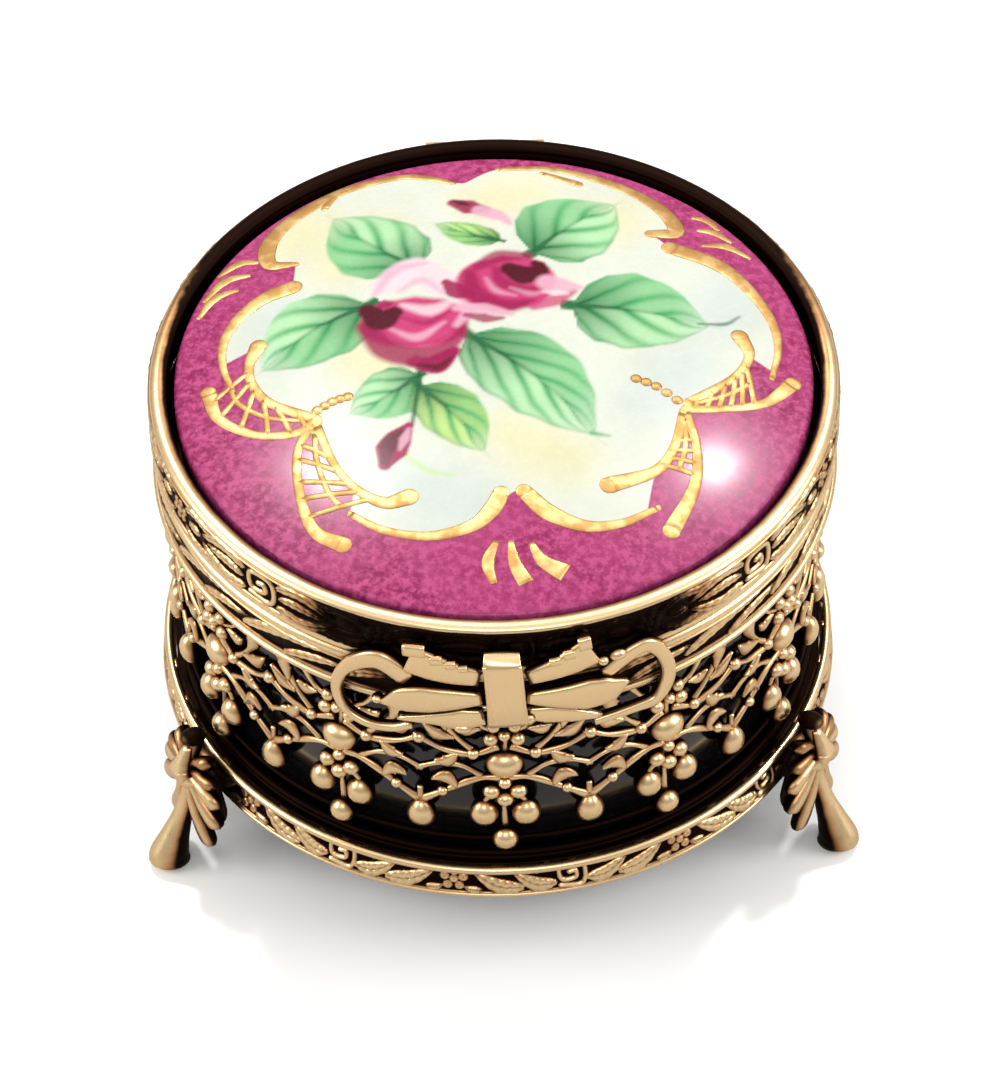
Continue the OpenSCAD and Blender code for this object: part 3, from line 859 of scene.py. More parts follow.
# %% Rails of the wall
def rail_section(radius, low, high, thick=1.0):
    """Flat rail with rounded edges."""
    return [(radius - thick, low), (radius - 0.2, low), (radius, low + 0.25), (radius, high - 0.25),
            (radius - 0.2, high), (radius - thick, high)]


rails = [turned(rail_section(wall_r, wall_z, wall_z + 0.9), 240, 0, 0.0),
         turned(rail_section(wall_r, wall_top - 1.4, wall_top), 240, 0, 0.15),
         turned(rail_section(wall_r - 0.4, wall_z + 2.9, wall_z + 3.5, 0.6), 240, 0, 0.0)]
points, faces, relief = joined(rails)
wall_rails = solid("openwork_rails", points, faces, relief, cast)
foot_wire_r, foot_wire_z, foot_wire_top = span("wall_foot_wire")
foot_wire = hoop("wire_at_wall_foot", foot_wire_r, 0.9, (foot_wire_z + foot_wire_top) / 2, finish=blackened)
print("rails", len(rails))

# %% [markdown]
# ## Black glass liner, floor and tray
# The liner is a pressed black glass cup, seen only through the openwork and when the lid is open.
# Its glass is so deep in colour that no light comes through: a black body under a clear sharp gloss.

# %% Liner and plates
def glaze(name, colour, roughness, coat_weight=0.0, coat_roughness=0.03):
    material = bpy.data.materials.new(name)
    nodes, link = nodes_of(material)
    shader = nodes["Principled BSDF"]
    shader.inputs["Roughness"].default_value = roughness
    shader.inputs["Coat Weight"].default_value = coat_weight
    shader.inputs["Coat Roughness"].default_value = coat_roughness
    place = nodes.new("ShaderNodeTexCoord")
    ripple = noise_of(nodes, link, place.outputs["Object"], 60, 2)
    darker = tuple(v * 0.6 for v in colour[:3]) + (1.0,)
    link(mix_colour(nodes, link, ripple, darker, colour), shader.inputs["Base Color"])
    dented(nodes, link, shader, ripple, 0.25, 0.3)
    return material


black_glass = glaze("dark_glass", linear(14, 12, 13), 0.14, 0.15)
liner_r, liner_z, liner_top = span("liner")
liner_wall = 2.2
liner_section = [(0.02, liner_z), (0.12, liner_z), (liner_r - 2.6, liner_z), (liner_r - 1.6, liner_z + 0.05),
                 (liner_r - 0.5, liner_z + 0.4), (liner_r, liner_z + 1.6), (liner_r, liner_top - 0.8),
                 (liner_r - 0.3, liner_top - 0.2), (liner_r - liner_wall / 2, liner_top),
                 (liner_r - liner_wall + 0.3, liner_top - 0.2), (liner_r - liner_wall, liner_top - 0.8),
                 (liner_r - liner_wall, liner_z + 4.4), (liner_r - liner_wall - 0.4, liner_z + 3.4),
                 (liner_r - liner_wall - 1.4, liner_z + 3.05), (liner_r - liner_wall - 2.8, liner_z + 3),
                 (0.12, liner_z + 3), (0.02, liner_z + 3)]
points, faces, relief = turned(liner_section, 200)
liner = solid("black_glass_liner", points, faces, None, black_glass)
print("liner top", round(liner_top, 2))

tray_r, tray_z, tray_top = span("lid_tray")
skirt_r = tray_r - 0.7
tray_under = tray_z + 2.4
tray_section = [(0.02, tray_under), (0.12, tray_under), (skirt_r - 1.6, tray_under),
                (skirt_r - 0.8, tray_under - 0.1), (skirt_r - 0.8, tray_z), (skirt_r - 0.1, tray_z),
                (skirt_r, tray_z + 0.2), (skirt_r, tray_under), (tray_r, tray_under), (tray_r, tray_top),
                (tray_r - 1, tray_top), (0.12, tray_top), (0.02, tray_top)]
tray_relief = [0.5, 0.5, 0.5, 0.4, 0.5, 0.6, 0.6, 0.4, 0.3, 0.0, 0.0, 0.0, 0.0]
points, faces, relief = turned(tray_section, 200, 0, tray_relief)
tray = solid("tray_inside_lid", points, faces, relief, antique)
print("tray underside", round(tray_under, 2))

# %% [markdown]
# ## Shell feet
# Each foot is one casting: a stem that runs down to a smooth toe, a knuckle with a curled top, and
# a shell of lobes fanned out on both sides. Lobes and stem are sweeps, made looking straight at the
# foot, then turned to face outwards at their place on the base.

# %% One foot
FOOT_FACE = 49.4          # distance from the jar's axis to the shell's middle


def foot_parts():
    stem = [(0, 16.6, -2.2), (0, 12.0, -1.1), (0, 8.0, 0.2), (0, 5.0, 1.4), (0, 2.6, 2.3), (0, 1.1, 2.5),
            (0, 0.0, 1.8)]
    parts = [swept(stem, [2.4, 2.0, 2.6, 3.6, 4.7, 5.0, 4.0], [2.6, 2.4, 3.0, 4.2, 5.4, 5.6, 4.6], sides=20)]
    curl = [(0, 16.6, -1.6), (0, 19.2, -1.8), (0, 21.2, -2.6), (0, 22.2, -2.6)]
    # Painted shade: the curl on top and its boss are darkened
    parts.append(swept(curl, [2.8, 2.6, 2.8, 2.4], [2.2, 1.9, 1.9, 1.6], sides=20, shade=0.5))
    parts.append(berry(0, 22.2, 3.0, 2.0, 1.8, -2.2, around=18, rings=10, shade=0.3))
    lobes = [([(0.9, 15.4), (1.6, 11.4), (2.8, 7.8), (4.4, 4.6)], 2.9),
             ([(1.3, 16.0), (3.0, 13.6), (4.8, 11.6), (6.5, 10.0)], 3.0),
             ([(1.6, 16.6), (3.2, 15.8), (4.8, 14.8), (6.4, 13.8)], 3.0),
             ([(1.2, 17.2), (2.8, 17.6), (4.4, 17.4), (5.4, 16.9)], 2.4),
             ([(0.8, 18.2), (1.8, 19.2), (2.9, 19.8), (4.0, 19.9)], 2.2)]
    for side in (-1, 1):
        comma = [(0.0, 20.8, -1.6), (0.0, 18.6, -0.7), (0.2 * side, 16.9, -0.3), (1.2 * side, 15.7, -0.4),
                 (2.4 * side, 15.7, -0.9)]
        parts.append(swept(comma, [1.4, 2.6, 3.4, 2.8, 1.4], [1.6, 2.4, 3.0, 2.4, 1.4], sides=20, tip=0.2))
        # Painted shade: the two upper lobes are darkened
        for k, (line, wide) in enumerate(lobes):
            path = [(side * x, z, -0.7 - 0.35 * step - 0.2 * k) for step, (x, z) in enumerate(line)]
            parts.append(swept(path, [0.8, 1.3, wide * 0.72, wide, wide * 0.96], [1.6, 1.9, 2.3, 2.4, 2.1],
                               sides=18, tip=0.14, per=10, shade=1.0 if k < 3 else 0.6))
        # Painted shade: the lobes behind the shell are painted nearly black
        parts.append(swept([(side * 2.2, 18.6, -2.6), (side * 3.8, 13.6, -2.7), (side * 3.8, 9.2, -2.8)],
                           [5.4, 7.6, 5.0], 1.0, sides=16, tip=0.5, shade=0.1))
    # Painted shade: the plate behind the foot is painted nearly black
    parts.append(swept([(0, 17.4, -4.0), (0, 14.2, -4.0)], 8.6, 3.4, sides=20, shade=0.2))
    return parts


def on_foot(azimuth):
    def lay(points):
        away, sideways = FOOT_FACE + points[:, 2], points[:, 0]
        c, s = math.cos(azimuth), math.sin(azimuth)
        return np.stack([away * c - sideways * s, away * s + sideways * c, points[:, 1]], -1)
    return lay


feet = {}
for name, degrees in (("foot_left", 210), ("foot_right", -30), ("foot_back", 90)):
    points, faces, relief = laid(foot_parts(), on_foot(math.radians(degrees)))
    feet[name] = solid("shell_" + name, points, faces, relief, cast)
print("foot", len(faces), "faces")

# %% [markdown]
# ## Ribbon bow
# The thumb lift is a bow cast in one with its folds. Two open loops, three folds a side and a flat
# strap over the middle lie on a shell that clears the collar, so the bow swings up with the lid.

# %% Bow
BOW_R = 46.0
BOW_Z = collar_top - 0.8
LOOPS = {
    -1: ([(12.3, 2.2), (15.7, 4.5), (18.6, 3.5), (21.0, 0.8), (22.0, -2.4), (21.6, -5.2), (20.2, -7.0),
          (17.4, -8.0), (14.2, -7.6), (12.0, -6.4)], [2.8, 3.2, 2.5, 1.8, 1.5, 1.3, 1.2, 1.2, 1.3, 1.2]),
    1: ([(13.0, 1.9), (15.9, 4.2), (18.7, 5.0), (20.7, 2.8), (21.8, -0.5), (21.6, -3.4), (20.0, -5.8),
         (17.2, -6.1), (13.4, -6.4), (11.6, -6.6)], [2.0, 2.4, 2.2, 1.9, 1.9, 2.0, 1.8, 1.4, 1.3, 1.2])}
# Folds of each side: middle line, widths, how far out it lies
FOLDS = {
    -1: [([(3.0, 4.0), (7.5, 5.0), (12.0, 6.4)], [2.8, 3.6, 4.6, 4.8], 0.5),
         ([(2.8, 0.6), (7.5, 0.0), (12.0, -0.9), (15.6, -2.2)], [2.0, 3.5, 4.5, 4.0, 0.4], 0.9),
         ([(2.6, -3.6), (6.0, -4.2), (9.0, -4.4), (13.6, -5.2)], [2.6, 3.8, 2.8, 1.6, 0.6], 0.3)],
    1: [([(3.0, 3.8), (7.5, 5.4), (11.3, 7.2)], [2.4, 3.2, 4.4, 5.0], 0.5),
        ([(2.8, 0.5), (8.0, -0.1), (12.6, -0.4), (15.8, 0.6)], [1.8, 3.6, 5.2, 4.4, 0.5], 0.9),
        ([(2.8, -3.0), (7.0, -3.8), (12.4, -5.4)], [1.9, 3.0, 2.4, 0.8], 0.3)]}


def bow_parts():
    parts = []
    for side in (-1, 1):
        loop, widths = LOOPS[side]
        line = [(side * x, BOW_Z + z, 0.1) for x, z in loop]
        parts.append(swept(line, widths, 1.5, sides=18, square=0.55))
        for fold, widths, out in FOLDS[side]:
            line = [(side * x, BOW_Z + z) for x, z in fold]
            parts.append(swept(line, widths, [1.3, 1.7, 1.6, 1.3], out=out, sides=28, square=0.5))
    # Crumpled top edge of the upper folds
    crumples = ((-11.2, 8.5, 2.8, 2.0), (-8.4, 7.2, 1.5, 1.4), (-6.6, 6.6, 1.3, 1.2), (-5.0, 6.1, 1.1, 1.0),
                (10.2, 9.2, 1.6, 2.2), (8.2, 7.7, 1.4, 1.4), (6.4, 6.8, 1.3, 1.2))
    for x, z, wide, tall in crumples:
        crumple = [(x - wide / 2, BOW_Z + z - 0.2), (x + wide / 2, BOW_Z + z)]
        parts.append(swept(crumple, tall, 1.3, out=0.8, sides=14, square=0.5))
    knobs = ((14.6, 5.4, 2.4, 1.8), (12.6, 5.0, 1.6, 1.4), (-5.2, -5.6, 2.6, 1.6), (-16.2, -2.3, 1.6, 1.2))
    for x, z, wide, tall in knobs:
        parts.append(berry(x, BOW_Z + z, wide, tall, 0.9, 0.6))
    return parts


def strap_parts():
    """Middle strap with its top folded back to the lid."""
    line = [(0.5, BOW_Z - 4.0, 1.2), (0.3, BOW_Z - 0.6, 1.4), (0, BOW_Z + 5.0, 1.4),
            (-0.2, BOW_Z + 7.2, 1.2), (-0.2, BOW_Z + 8.2, 0.1)]
    rims = [[(x + side * 2.2, z, out + 0.45) for x, z, out in line[:4]] for side in (-1, 1)]
    return ([swept(line, [5.2, 4.9, 4.8, 4.7, 4.5], [1.5, 1.5, 1.5, 1.4, 1.0], sides=28, square=0.3)]
            + [swept(rim, 0.5, 0.8, sides=8) for rim in rims]
            + [berry(2.9, BOW_Z - 3.6, 2.0, 1.8, 0.8, 1.0)])


bow_ribbon = solid("bow_ribbon_folds", *laid(bow_parts(), on_cylinder(BOW_R)), cast)
bow_knot = solid("bow_strap", *laid(strap_parts(), on_cylinder(BOW_R)), cast)
print("bow middle height", round(BOW_Z, 2))

# %% [markdown]
# ## Porcelain plaque
# The plaque is a shallow dome. A square grid is stretched to a disc, so that there is no pole in the
# middle of the painting, and the points are close enough together to carry the brush work as vertex
# values. Outlines are kept as distances in millimetres, which the material turns into crisp edges.

# %% Dome
plaque_r, plaque_z, plaque_top = span("plaque")
PLAQUE_RISE = 4.9
plaque_edge = plaque_top - PLAQUE_RISE
GRID = 292


def dome_height(x, y):
    return plaque_edge + PLAQUE_RISE * (1 - (np.hypot(x, y) / plaque_r) ** 2.3)


across = np.linspace(-1, 1, GRID)
u, v = np.meshgrid(across, across, indexing="ij")
disc_r = plaque_r - 0.35
paint_x = (u * np.sqrt(1 - v ** 2 / 2) * disc_r).ravel()
paint_y = (v * np.sqrt(1 - u ** 2 / 2) * disc_r).ravel()
plaque_points = [np.stack([paint_x, paint_y, dome_height(paint_x, paint_y)], -1)]
rim = ([i * GRID for i in range(GRID - 1)] + [(GRID - 1) * GRID + j for j in range(GRID - 1)]
       + [i * GRID + GRID - 1 for i in range(GRID - 1, 0, -1)] + [j for j in range(GRID - 1, 0, -1)])
plaque_faces = lattice_faces(GRID, GRID, False, False)
direction = plaque_points[0][rim, :2] / disc_r
previous, count = np.array(rim), GRID * GRID
for radius, height in ((plaque_r, plaque_edge - 0.3), (plaque_r, plaque_z + 0.3), (plaque_r - 0.4, plaque_z),
                       (plaque_r - 3, plaque_z), (plaque_r * 0.6, plaque_z + 2.6), (4.0, plaque_z + 4.4)):
    plaque_points.append(np.column_stack([direction * radius, np.full(len(rim), height)]))
    ring = np.arange(count, count + len(rim))
    plaque_faces += [(int(previous[k]), int(ring[k]), int(ring[k - 1]), int(previous[k - 1]))
                     for k in range(len(rim))]
    previous, count = ring, count + len(rim)
plaque_faces.append(tuple(int(k) for k in previous))
plaque_points = np.vstack(plaque_points)
print("plaque", len(plaque_faces), "faces; crown at", round(plaque_top, 2))

# %% [markdown]
# ## Painting
# The painter left a white reserve in the rose-pink ground, edged it with gilt scrolls, and painted
# roses in a few wet strokes. The strokes here work the same way: each is a curve with a width, a
# colour and a soft edge, laid over what is already there.

# %% Brush
GLAZE_WHITE = (222, 226, 212)


def tone_of(colour):
    """The three linear values of a colour given as screen values."""
    return np.array(linear(*colour)[:3])


canvas = np.tile(tone_of(GLAZE_WHITE), (len(paint_x), 1))


def brush(points, widths, colour, strength=1.0, soft=0.5):
    """One stroke, laid over what is there. soft is how many millimetres its edge takes to fade."""
    line = flowing(points, 6)
    width = np.max(widths)
    near = ((paint_x > line[:, 0].min() - width) & (paint_x < line[:, 0].max() + width)
            & (paint_y > line[:, 1].min() - width) & (paint_y < line[:, 1].max() + width))
    away, along, _ = reach_of(paint_x[near], paint_y[near], line)
    half = np.interp(along, np.linspace(0, 1, len(widths)), np.array(widths) / 2)
    cover = (np.clip((half - away) / soft + 0.5, 0, 1) * strength)[:, None]
    canvas[near] = canvas[near] * (1 - cover) + tone_of(colour) * cover


YELLOW, MIST = (230, 224, 178), (206, 216, 212)
for tint in ([(-20, 19), (-15, 25)], [(0, 31), (5, 33)], [(12, 25), (17, 27)], [(2, -14), (9, -18)],
             [(-17, 3), (-15, -2)], [(-28, 24), (-24, 28)]):
    brush(tint, [8, 10, 8], YELLOW, 0.75, 6)
for tint in ([(-27, 5), (-28, 9)], [(20, -8), (25, -2)], [(-12, -22), (-4, -25)], [(30, 8), (32, 12)]):
    brush(tint, [8, 9, 8], MIST, 0.8, 6)
print("points that carry colour", len(paint_x))

# %% Leaves
PALE_GREEN, GREEN, DEEP_GREEN, LIME = (182, 226, 176), (78, 172, 104), (0, 92, 48), (192, 224, 138)


def leaf(base, tip, wide, lean=0.0, pale=PALE_GREEN, veins=3):
    """Rounded leaf in a pale wash: darker between its veins, deep green at the base and the midrib."""
    base, tip = np.array(base, float), np.array(tip, float)
    length = np.linalg.norm(tip - base)
    ahead = (tip - base) / length
    along = ((paint_x - base[0]) * ahead[0] + (paint_y - base[1]) * ahead[1]) / length
    near = (along > -0.1) & (along < 1.1) & (np.hypot(paint_x - base[0], paint_y - base[1]) < length + wide)
    along = along[near]
    off = (paint_y[near] - base[1]) * ahead[0] - (paint_x[near] - base[0]) * ahead[1]
    off = off - lean * np.sin(np.pi * np.clip(along, 0, 1))
    half = wide / 2 * np.interp(along, [0, 0.06, 0.2, 0.4, 0.6, 0.78, 0.92, 1.0],
                                [0.14, 0.56, 0.90, 1.0, 0.90, 0.62, 0.26, 0.0])
    half = half * (1 + 0.025 * np.sin(along * veins * 2 * np.pi + 0.6 * np.sign(off)))
    inside = half - np.abs(off)
    out = np.clip(np.abs(off) / np.maximum(half, 0.2), 0, 1)
    chevron = 0.5 + 0.5 * np.cos(2 * np.pi * (along - 0.55 * out + 0.04 * np.sign(off)) * veins)
    streak = (chevron ** 2.2 * (1 - 0.5 * out))[:, None]
    root = np.clip(1.05 - along / 0.46, 0, 1) * (1 - 0.6 * out ** 2)
    rib = np.exp(-(off / 0.34) ** 2) * np.clip(1.1 - along, 0, 1)
    vein = chevron ** 18 * np.clip(1.05 - out, 0, 1) * np.clip(1.0 - along, 0, 1)
    edge = np.exp(-(inside / 0.5) ** 2) * 0.35 * (off * lean < 0)
    tone = tone_of(pale) * (1 - streak) + tone_of(GREEN) * streak
    wetter = 0.45 * np.clip(0.5 + off / 0.6, 0, 1)[:, None]
    tone = tone * (1 - wetter) + tone_of(GREEN) * wetter
    darker = np.clip(0.80 * root + 0.65 * rib + 0.40 * vein + edge, 0, 0.92)[:, None]
    tone = tone * (1 - darker) + tone_of(DEEP_GREEN) * darker
    fade = 1 - 0.45 * np.clip((along - 0.7) / 0.3, 0, 1)
    cover = (np.clip(inside / 0.45 + 0.5, 0, 1) * fade)[:, None]
    canvas[near] = canvas[near] * (1 - cover) + tone * cover


leaf((-9.6, 17.2), (-20.6, 29.4), 13.0, 0.8)
leaf((-16.2, 10.3), (-30.2, 0.2), 13.0, -1.2)
leaf((5.8, 19.6), (17.0, 30.4), 14.0, 0.6)
leaf((10.8, 8.9), (28.4, 6.0), 14.6, 0.6)
leaf((-2.9, 3.4), (12.8, -14.4), 13.0, 1.2, veins=4)
leaf((-9.8, -3.4), (-18.8, -9.3), 8.6, 0.4)
leaf((-9.6, -5.4), (-1.5, -17.0), 8.4, 0.6, pale=LIME)
leaf((1.4, 22.2), (-7.2, 26.4), 4.6, 0.4, pale=LIME)
brush([(27, 6.4), (30.5, 6.8), (32.5, 8.6)], [0.3, 0.7, 0.3], DEEP_GREEN, 0.7, 0.4)
brush([(12.4, -14.0), (14.6, -14.4)], [0.7, 0.3], GREEN, 0.8, 0.4)
brush([(-10, 0), (-9.7, -4), (-10.8, -12)], [0.8, 0.7, 0.5], DEEP_GREEN, 0.8, 0.4)
brush([(-12.2, -16.5), (-9.0, -19.5), (-5.5, -20.6)], [0.4, 1.0, 0.3], LIME, 0.6, 0.6)
brush([(-15.6, -17.5), (-18.6, -19.5)], [0.4, 1.0, 0.3], LIME, 0.5, 0.6)
print("mean colour with the leaves", canvas.mean(axis=0).round(3))

# %% Roses
MAGENTA, ROSE, BLUSH, HEART = (158, 16, 78), (200, 62, 116), (226, 172, 192), (84, 2, 26)
PETAL_WHITE = (236, 212, 220)
# Left rose: white petals behind, a pink cup with a deep rim below, and a dark heart
brush([(-14.0, 14.0), (-9.8, 16.4), (-6.0, 13.4)], [3.6, 5.6, 4.4], PETAL_WHITE, 0.95, 1.0)
brush([(-15.2, 12.4), (-12.6, 16.8), (-8.4, 18.0)], [0.8, 1.6, 0.6], BLUSH, 0.8, 0.8)
brush([(-12.0, 12.6), (-9.0, 14.6), (-6.2, 11.8)], [0.6, 1.3, 0.5], BLUSH, 0.75, 0.8)
brush([(-12.8, 6.6), (-7.6, 6.4)], [8.6, 9.8, 8.8], ROSE, 1, 0.9)
brush([(-11.6, 9.8), (-8.0, 8.6), (-4.8, 10.4)], [0.9, 2.2, 0.8], PETAL_WHITE, 0.8, 0.9)
brush([(-16.6, 6.2), (-13.8, 1.6), (-9.0, 0.2), (-4.8, 3.0), (-3.6, 6.6)], [2.4, 3.6, 3.8, 2.6, 0.8],
      MAGENTA, 0.92, 1.0)
brush([(-13.2, 5.4), (-9.8, 3.6), (-6.2, 6.2)], [0.5, 1.5, 0.4], BLUSH, 0.8, 0.7)
brush([(-12.0, 7.6), (-8.6, 6.2), (-5.4, 8.2)], [0.4, 0.9, 0.3], MAGENTA, 0.7, 0.7)
brush([(-10.6, 2.0), (-7.6, 2.0), (-5.2, 4.0)], [0.3, 0.8, 0.3], ROSE, 0.8, 0.6)
brush([(-16.2, 9.2), (-14.4, 7.4), (-12.7, 8.6)], [2.6, 4.2, 2.2], HEART, 1, 0.6)
brush([(-14.6, 10.2), (-13.2, 10.4)], [1.0, 1.8, 0.8], MAGENTA, 0.9, 0.5)
brush([(-10.6, -0.9), (-7.6, -1.5), (-5.0, 0.8)], [1.6, 3.6, 1.6], MAGENTA, 1, 0.5)
brush([(-9.6, -1.4), (-7.2, -2.0), (-5.4, -0.4)], [0.5, 1.2, 0.4], HEART, 0.85, 0.5)
brush([(-4.6, 5.6), (-3.0, 8.4), (-4.2, 11.0)], [1.0, 1.9, 0.8], BLUSH, 0.9, 0.7)
# Right rose: a deep pink bowl with a dark heart, and pale petals in front of it
brush([(0.2, 13.4), (3.6, 13.6)], [9.6, 11.0, 10.0], ROSE, 1, 0.7)
brush([(-2.7, 15.4), (-2.1, 11.6), (1.2, 9.0), (5.6, 9.6)], [1.8, 3.0, 2.8, 1.2], MAGENTA, 0.92, 1.0)
brush([(-1.6, 16.8), (1.2, 18.7), (4.8, 18.8)], [1.6, 2.6, 1.4], MAGENTA, 0.85, 0.8)
brush([(0.6, 16.4), (1.6, 13.4), (5.0, 11.8), (7.6, 13.4)], [1.0, 2.0, 1.8, 0.8], MAGENTA, 0.8, 0.8)
brush([(-0.6, 14.4), (0.6, 12.0), (3.2, 10.9)], [0.4, 1.0, 0.3], BLUSH, 0.65, 0.7)
brush([(2.6, 12.4), (5.2, 11.2), (7.4, 11.8)], [0.4, 1.0, 0.3], BLUSH, 0.6, 0.7)
brush([(2.5, 16.2), (4.4, 15.0), (6.5, 15.6)], [2.4, 3.8, 2.4], HEART, 1, 0.6)
brush([(6.0, 17.2), (7.2, 16.2)], [1.3, 1.9, 0.9], HEART, 1, 0.5)
brush([(7.4, 13.4), (9.4, 12.8), (11.6, 12.4)], [3.0, 2.8, 1.0], BLUSH, 0.9, 0.8)
brush([(5.6, 8.8), (8.6, 10.0), (11.0, 11.6)], [1.6, 2.2, 0.6], ROSE, 0.85, 0.7)
brush([(7.0, 11.6), (10.0, 11.2)], [0.5, 1.2, 0.4], PETAL_WHITE, 0.9, 0.6)
brush([(-5.8, 13.8), (-4.3, 11.9), (-2.8, 11.5)], [1.4, 3.0, 1.6], MAGENTA, 0.95, 0.5)
brush([(-4.6, 8.8), (-1.0, 8.4), (2.6, 7.4)], [1.2, 2.2, 0.8], BLUSH, 0.9, 0.6)
brush([(-3.4, 7.4), (-0.6, 6.6), (1.4, 6.6)], [0.8, 1.7, 0.6], MAGENTA, 0.85, 0.5)
# Buds at the back and at the front
brush([(-4.6, 30.8), (-2.2, 29.6), (-0.4, 29.0)], [1.6, 3.2, 1.5], MAGENTA, 0.95, 0.5)
brush([(-4.4, 31.2), (-2.6, 30.2)], [0.6, 1.2, 0.5], HEART, 0.8, 0.5)
brush([(-1.0, 28.8), (1.6, 27.4), (2.8, 25.8)], [2.4, 2.2, 0.8], BLUSH, 0.9, 0.6)
brush([(-14.4, -18.2), (-13.2, -15.2), (-11.2, -12.0)], [1.8, 4.4, 3.6, 1.2], MAGENTA, 1, 0.4)
brush([(-14.4, -17.6), (-13.8, -14.8), (-12.2, -13.0)], [1.4, 2.4, 1.0], HEART, 0.9, 0.6)
brush([(-12.4, -15.8), (-11.2, -12.6)], [0.5, 1.4, 0.6], BLUSH, 0.85, 0.5)
print("mean colour with the flowers", canvas.mean(axis=0).round(3))

# %% [markdown]
# ## Gilt scrolls
# The gilding is painted in thick gold over the glaze and stands a little proud of it, so it is made
# as its own thin raised lines. The same lines give the outline of the white reserve.

# %% Scroll lines
# Each scroll: points (x, y) from start to end, and its widths
SCROLLS = {
    "top_left": ([(-4.5, 35.5), (-8, 37.2), (-12, 37.8), (-18.5, 36), (-23, 33), (-27, 29.3), (-29.3, 25),
                  (-29.0, 21), (-25.6, 20.3)], [0.8, 1.2, 1.3, 1.5, 1.8, 2.0, 2.2, 2.6, 2.0, 0.9]),
    "left": ([(-26.0, 15.6), (-30, 14), (-33.4, 10.6), (-35.2, 6.5), (-35.2, 2), (-34, -2.5)],
             [2.6, 2.4, 1.9, 1.5, 1.2, 1.0, 0.8]),
    "left_low": ([(-37.2, -2.0), (-35.8, -7), (-31, -10.8), (-26, -11.5), (-23.2, -10)],
                 [2.2, 1.5, 1.3, 1.4, 1.8]),
    "left_branch": ([(-30.6, 5.0), (-31.8, 1.6), (-31.4, -2), (-29, -5.8), (-23.2, -9.5)],
                    [2.4, 1.4, 1.3, 1.4, 1.6]),
    "lower_left_out": ([(-23.5, -10), (-25.6, -14.5), (-25.4, -21.6), (-23.6, -27.4), (-20, -30)],
                       [1.4, 1.2, 1.3, 1.7, 2.4]),
    "lower_left_in": ([(-23.2, -10.5), (-20.8, -17.6), (-18.0, -21.8), (-14.6, -24.2), (-11.4, -23.6)],
                      [1.4, 1.2, 1.3, 1.8, 2.6]),
    "bottom_left": ([(-19, -25.4), (-14.8, -28.4), (-9, -29.8), (-3.5, -28.6), (-0.8, -26), (0.4, -23.6)],
                    [0.9, 1.2, 1.4, 1.9, 2.4, 2.2]),
    "bottom_right": ([(3.3, -23.4), (6.4, -26.8), (11, -28.8), (15.8, -28.2), (20.4, -25.6)],
                     [2.2, 2.6, 1.8, 1.3, 0.9]),
    "lower_right_out": ([(24.6, -9.5), (25.8, -15.6), (25.2, -22), (22.0, -29)], [1.4, 1.2, 1.6, 2.4]),
    "lower_right_in": ([(24.4, -9.8), (22.9, -15.8), (20.2, -19.9), (14.3, -22.4)], [1.4, 1.3, 1.6, 2.6]),
    "right_low": ([(24.8, -9.2), (30, -8.6), (35.2, -6.8), (38.9, -2.8)], [1.6, 1.2, 1.5, 2.3]),
    "right_branch": ([(25, -8.2), (31.0, -3.2), (33.4, 1.2), (32.3, 4.8)], [1.5, 1.2, 1.4, 2.4]),
    "right": ([(24.0, 21.4), (29.8, 18.8), (33.6, 14.8), (36.6, 8.8), (37.3, 3.4), (36.2, -2.4)],
              [2.6, 2.5, 1.9, 1.4, 1.1, 0.8]),
    "top_right": ([(1.5, 38.6), (8, 38.8), (14, 36.8), (20, 33), (23.6, 29), (24.8, 25), (21.4, 24.2)],
                  [0.8, 1.2, 1.5, 1.8, 2.2, 2.4, 1.6]),
    "top_left_tail": ([(-18.5, 35.8), (-20.6, 34.4), (-21.7, 32.0)], [0.9, 1.4, 1.0]),
    "top_tail": ([(7.5, 37.6), (12.2, 35.0)], [0.8, 1.4]),
}
ACCENTS = [([(-30.5, 21.8), (-33, 22.3), (-36, 20.2)], [0.7, 1.5, 0.6]),
           ([(-31.6, 19.4), (-35, 19.0), (-37.9, 15.4)], [0.7, 1.6, 0.6]),
           ([(-33.2, 16.8), (-36.4, 15.8), (-38.6, 12.2)], [0.7, 1.6, 0.6]),
           ([(-0.4, -31), (-1.6, -34), (-0.9, -37.2)], [0.8, 1.8, 0.9]),
           ([(1.4, -31), (1.8, -34.2), (3.2, -37.2)], [0.8, 1.7, 2.2]),
           ([(4.0, -31.4), (5.4, -34), (8.2, -35.8)], [0.8, 1.8, 2.8]),
           ([(27, 28.6), (29.2, 28.2), (30.6, 26.2)], [0.6, 1.3, 0.6]),
           ([(27.6, 25.8), (30, 25.6), (32.2, 23.8)], [0.6, 1.4, 0.6]),
           ([(28, 22.4), (31.4, 22.8), (34.6, 20.8)], [0.6, 1.5, 0.6])]
ROPES = [[(-23.0, -8.0), (-21, -6.8), (-19, -6.2)], [(18.4, -4.4), (21, -5.6), (23.6, -7.8)]]
print("scrolls", len(SCROLLS), "accents", len(ACCENTS))

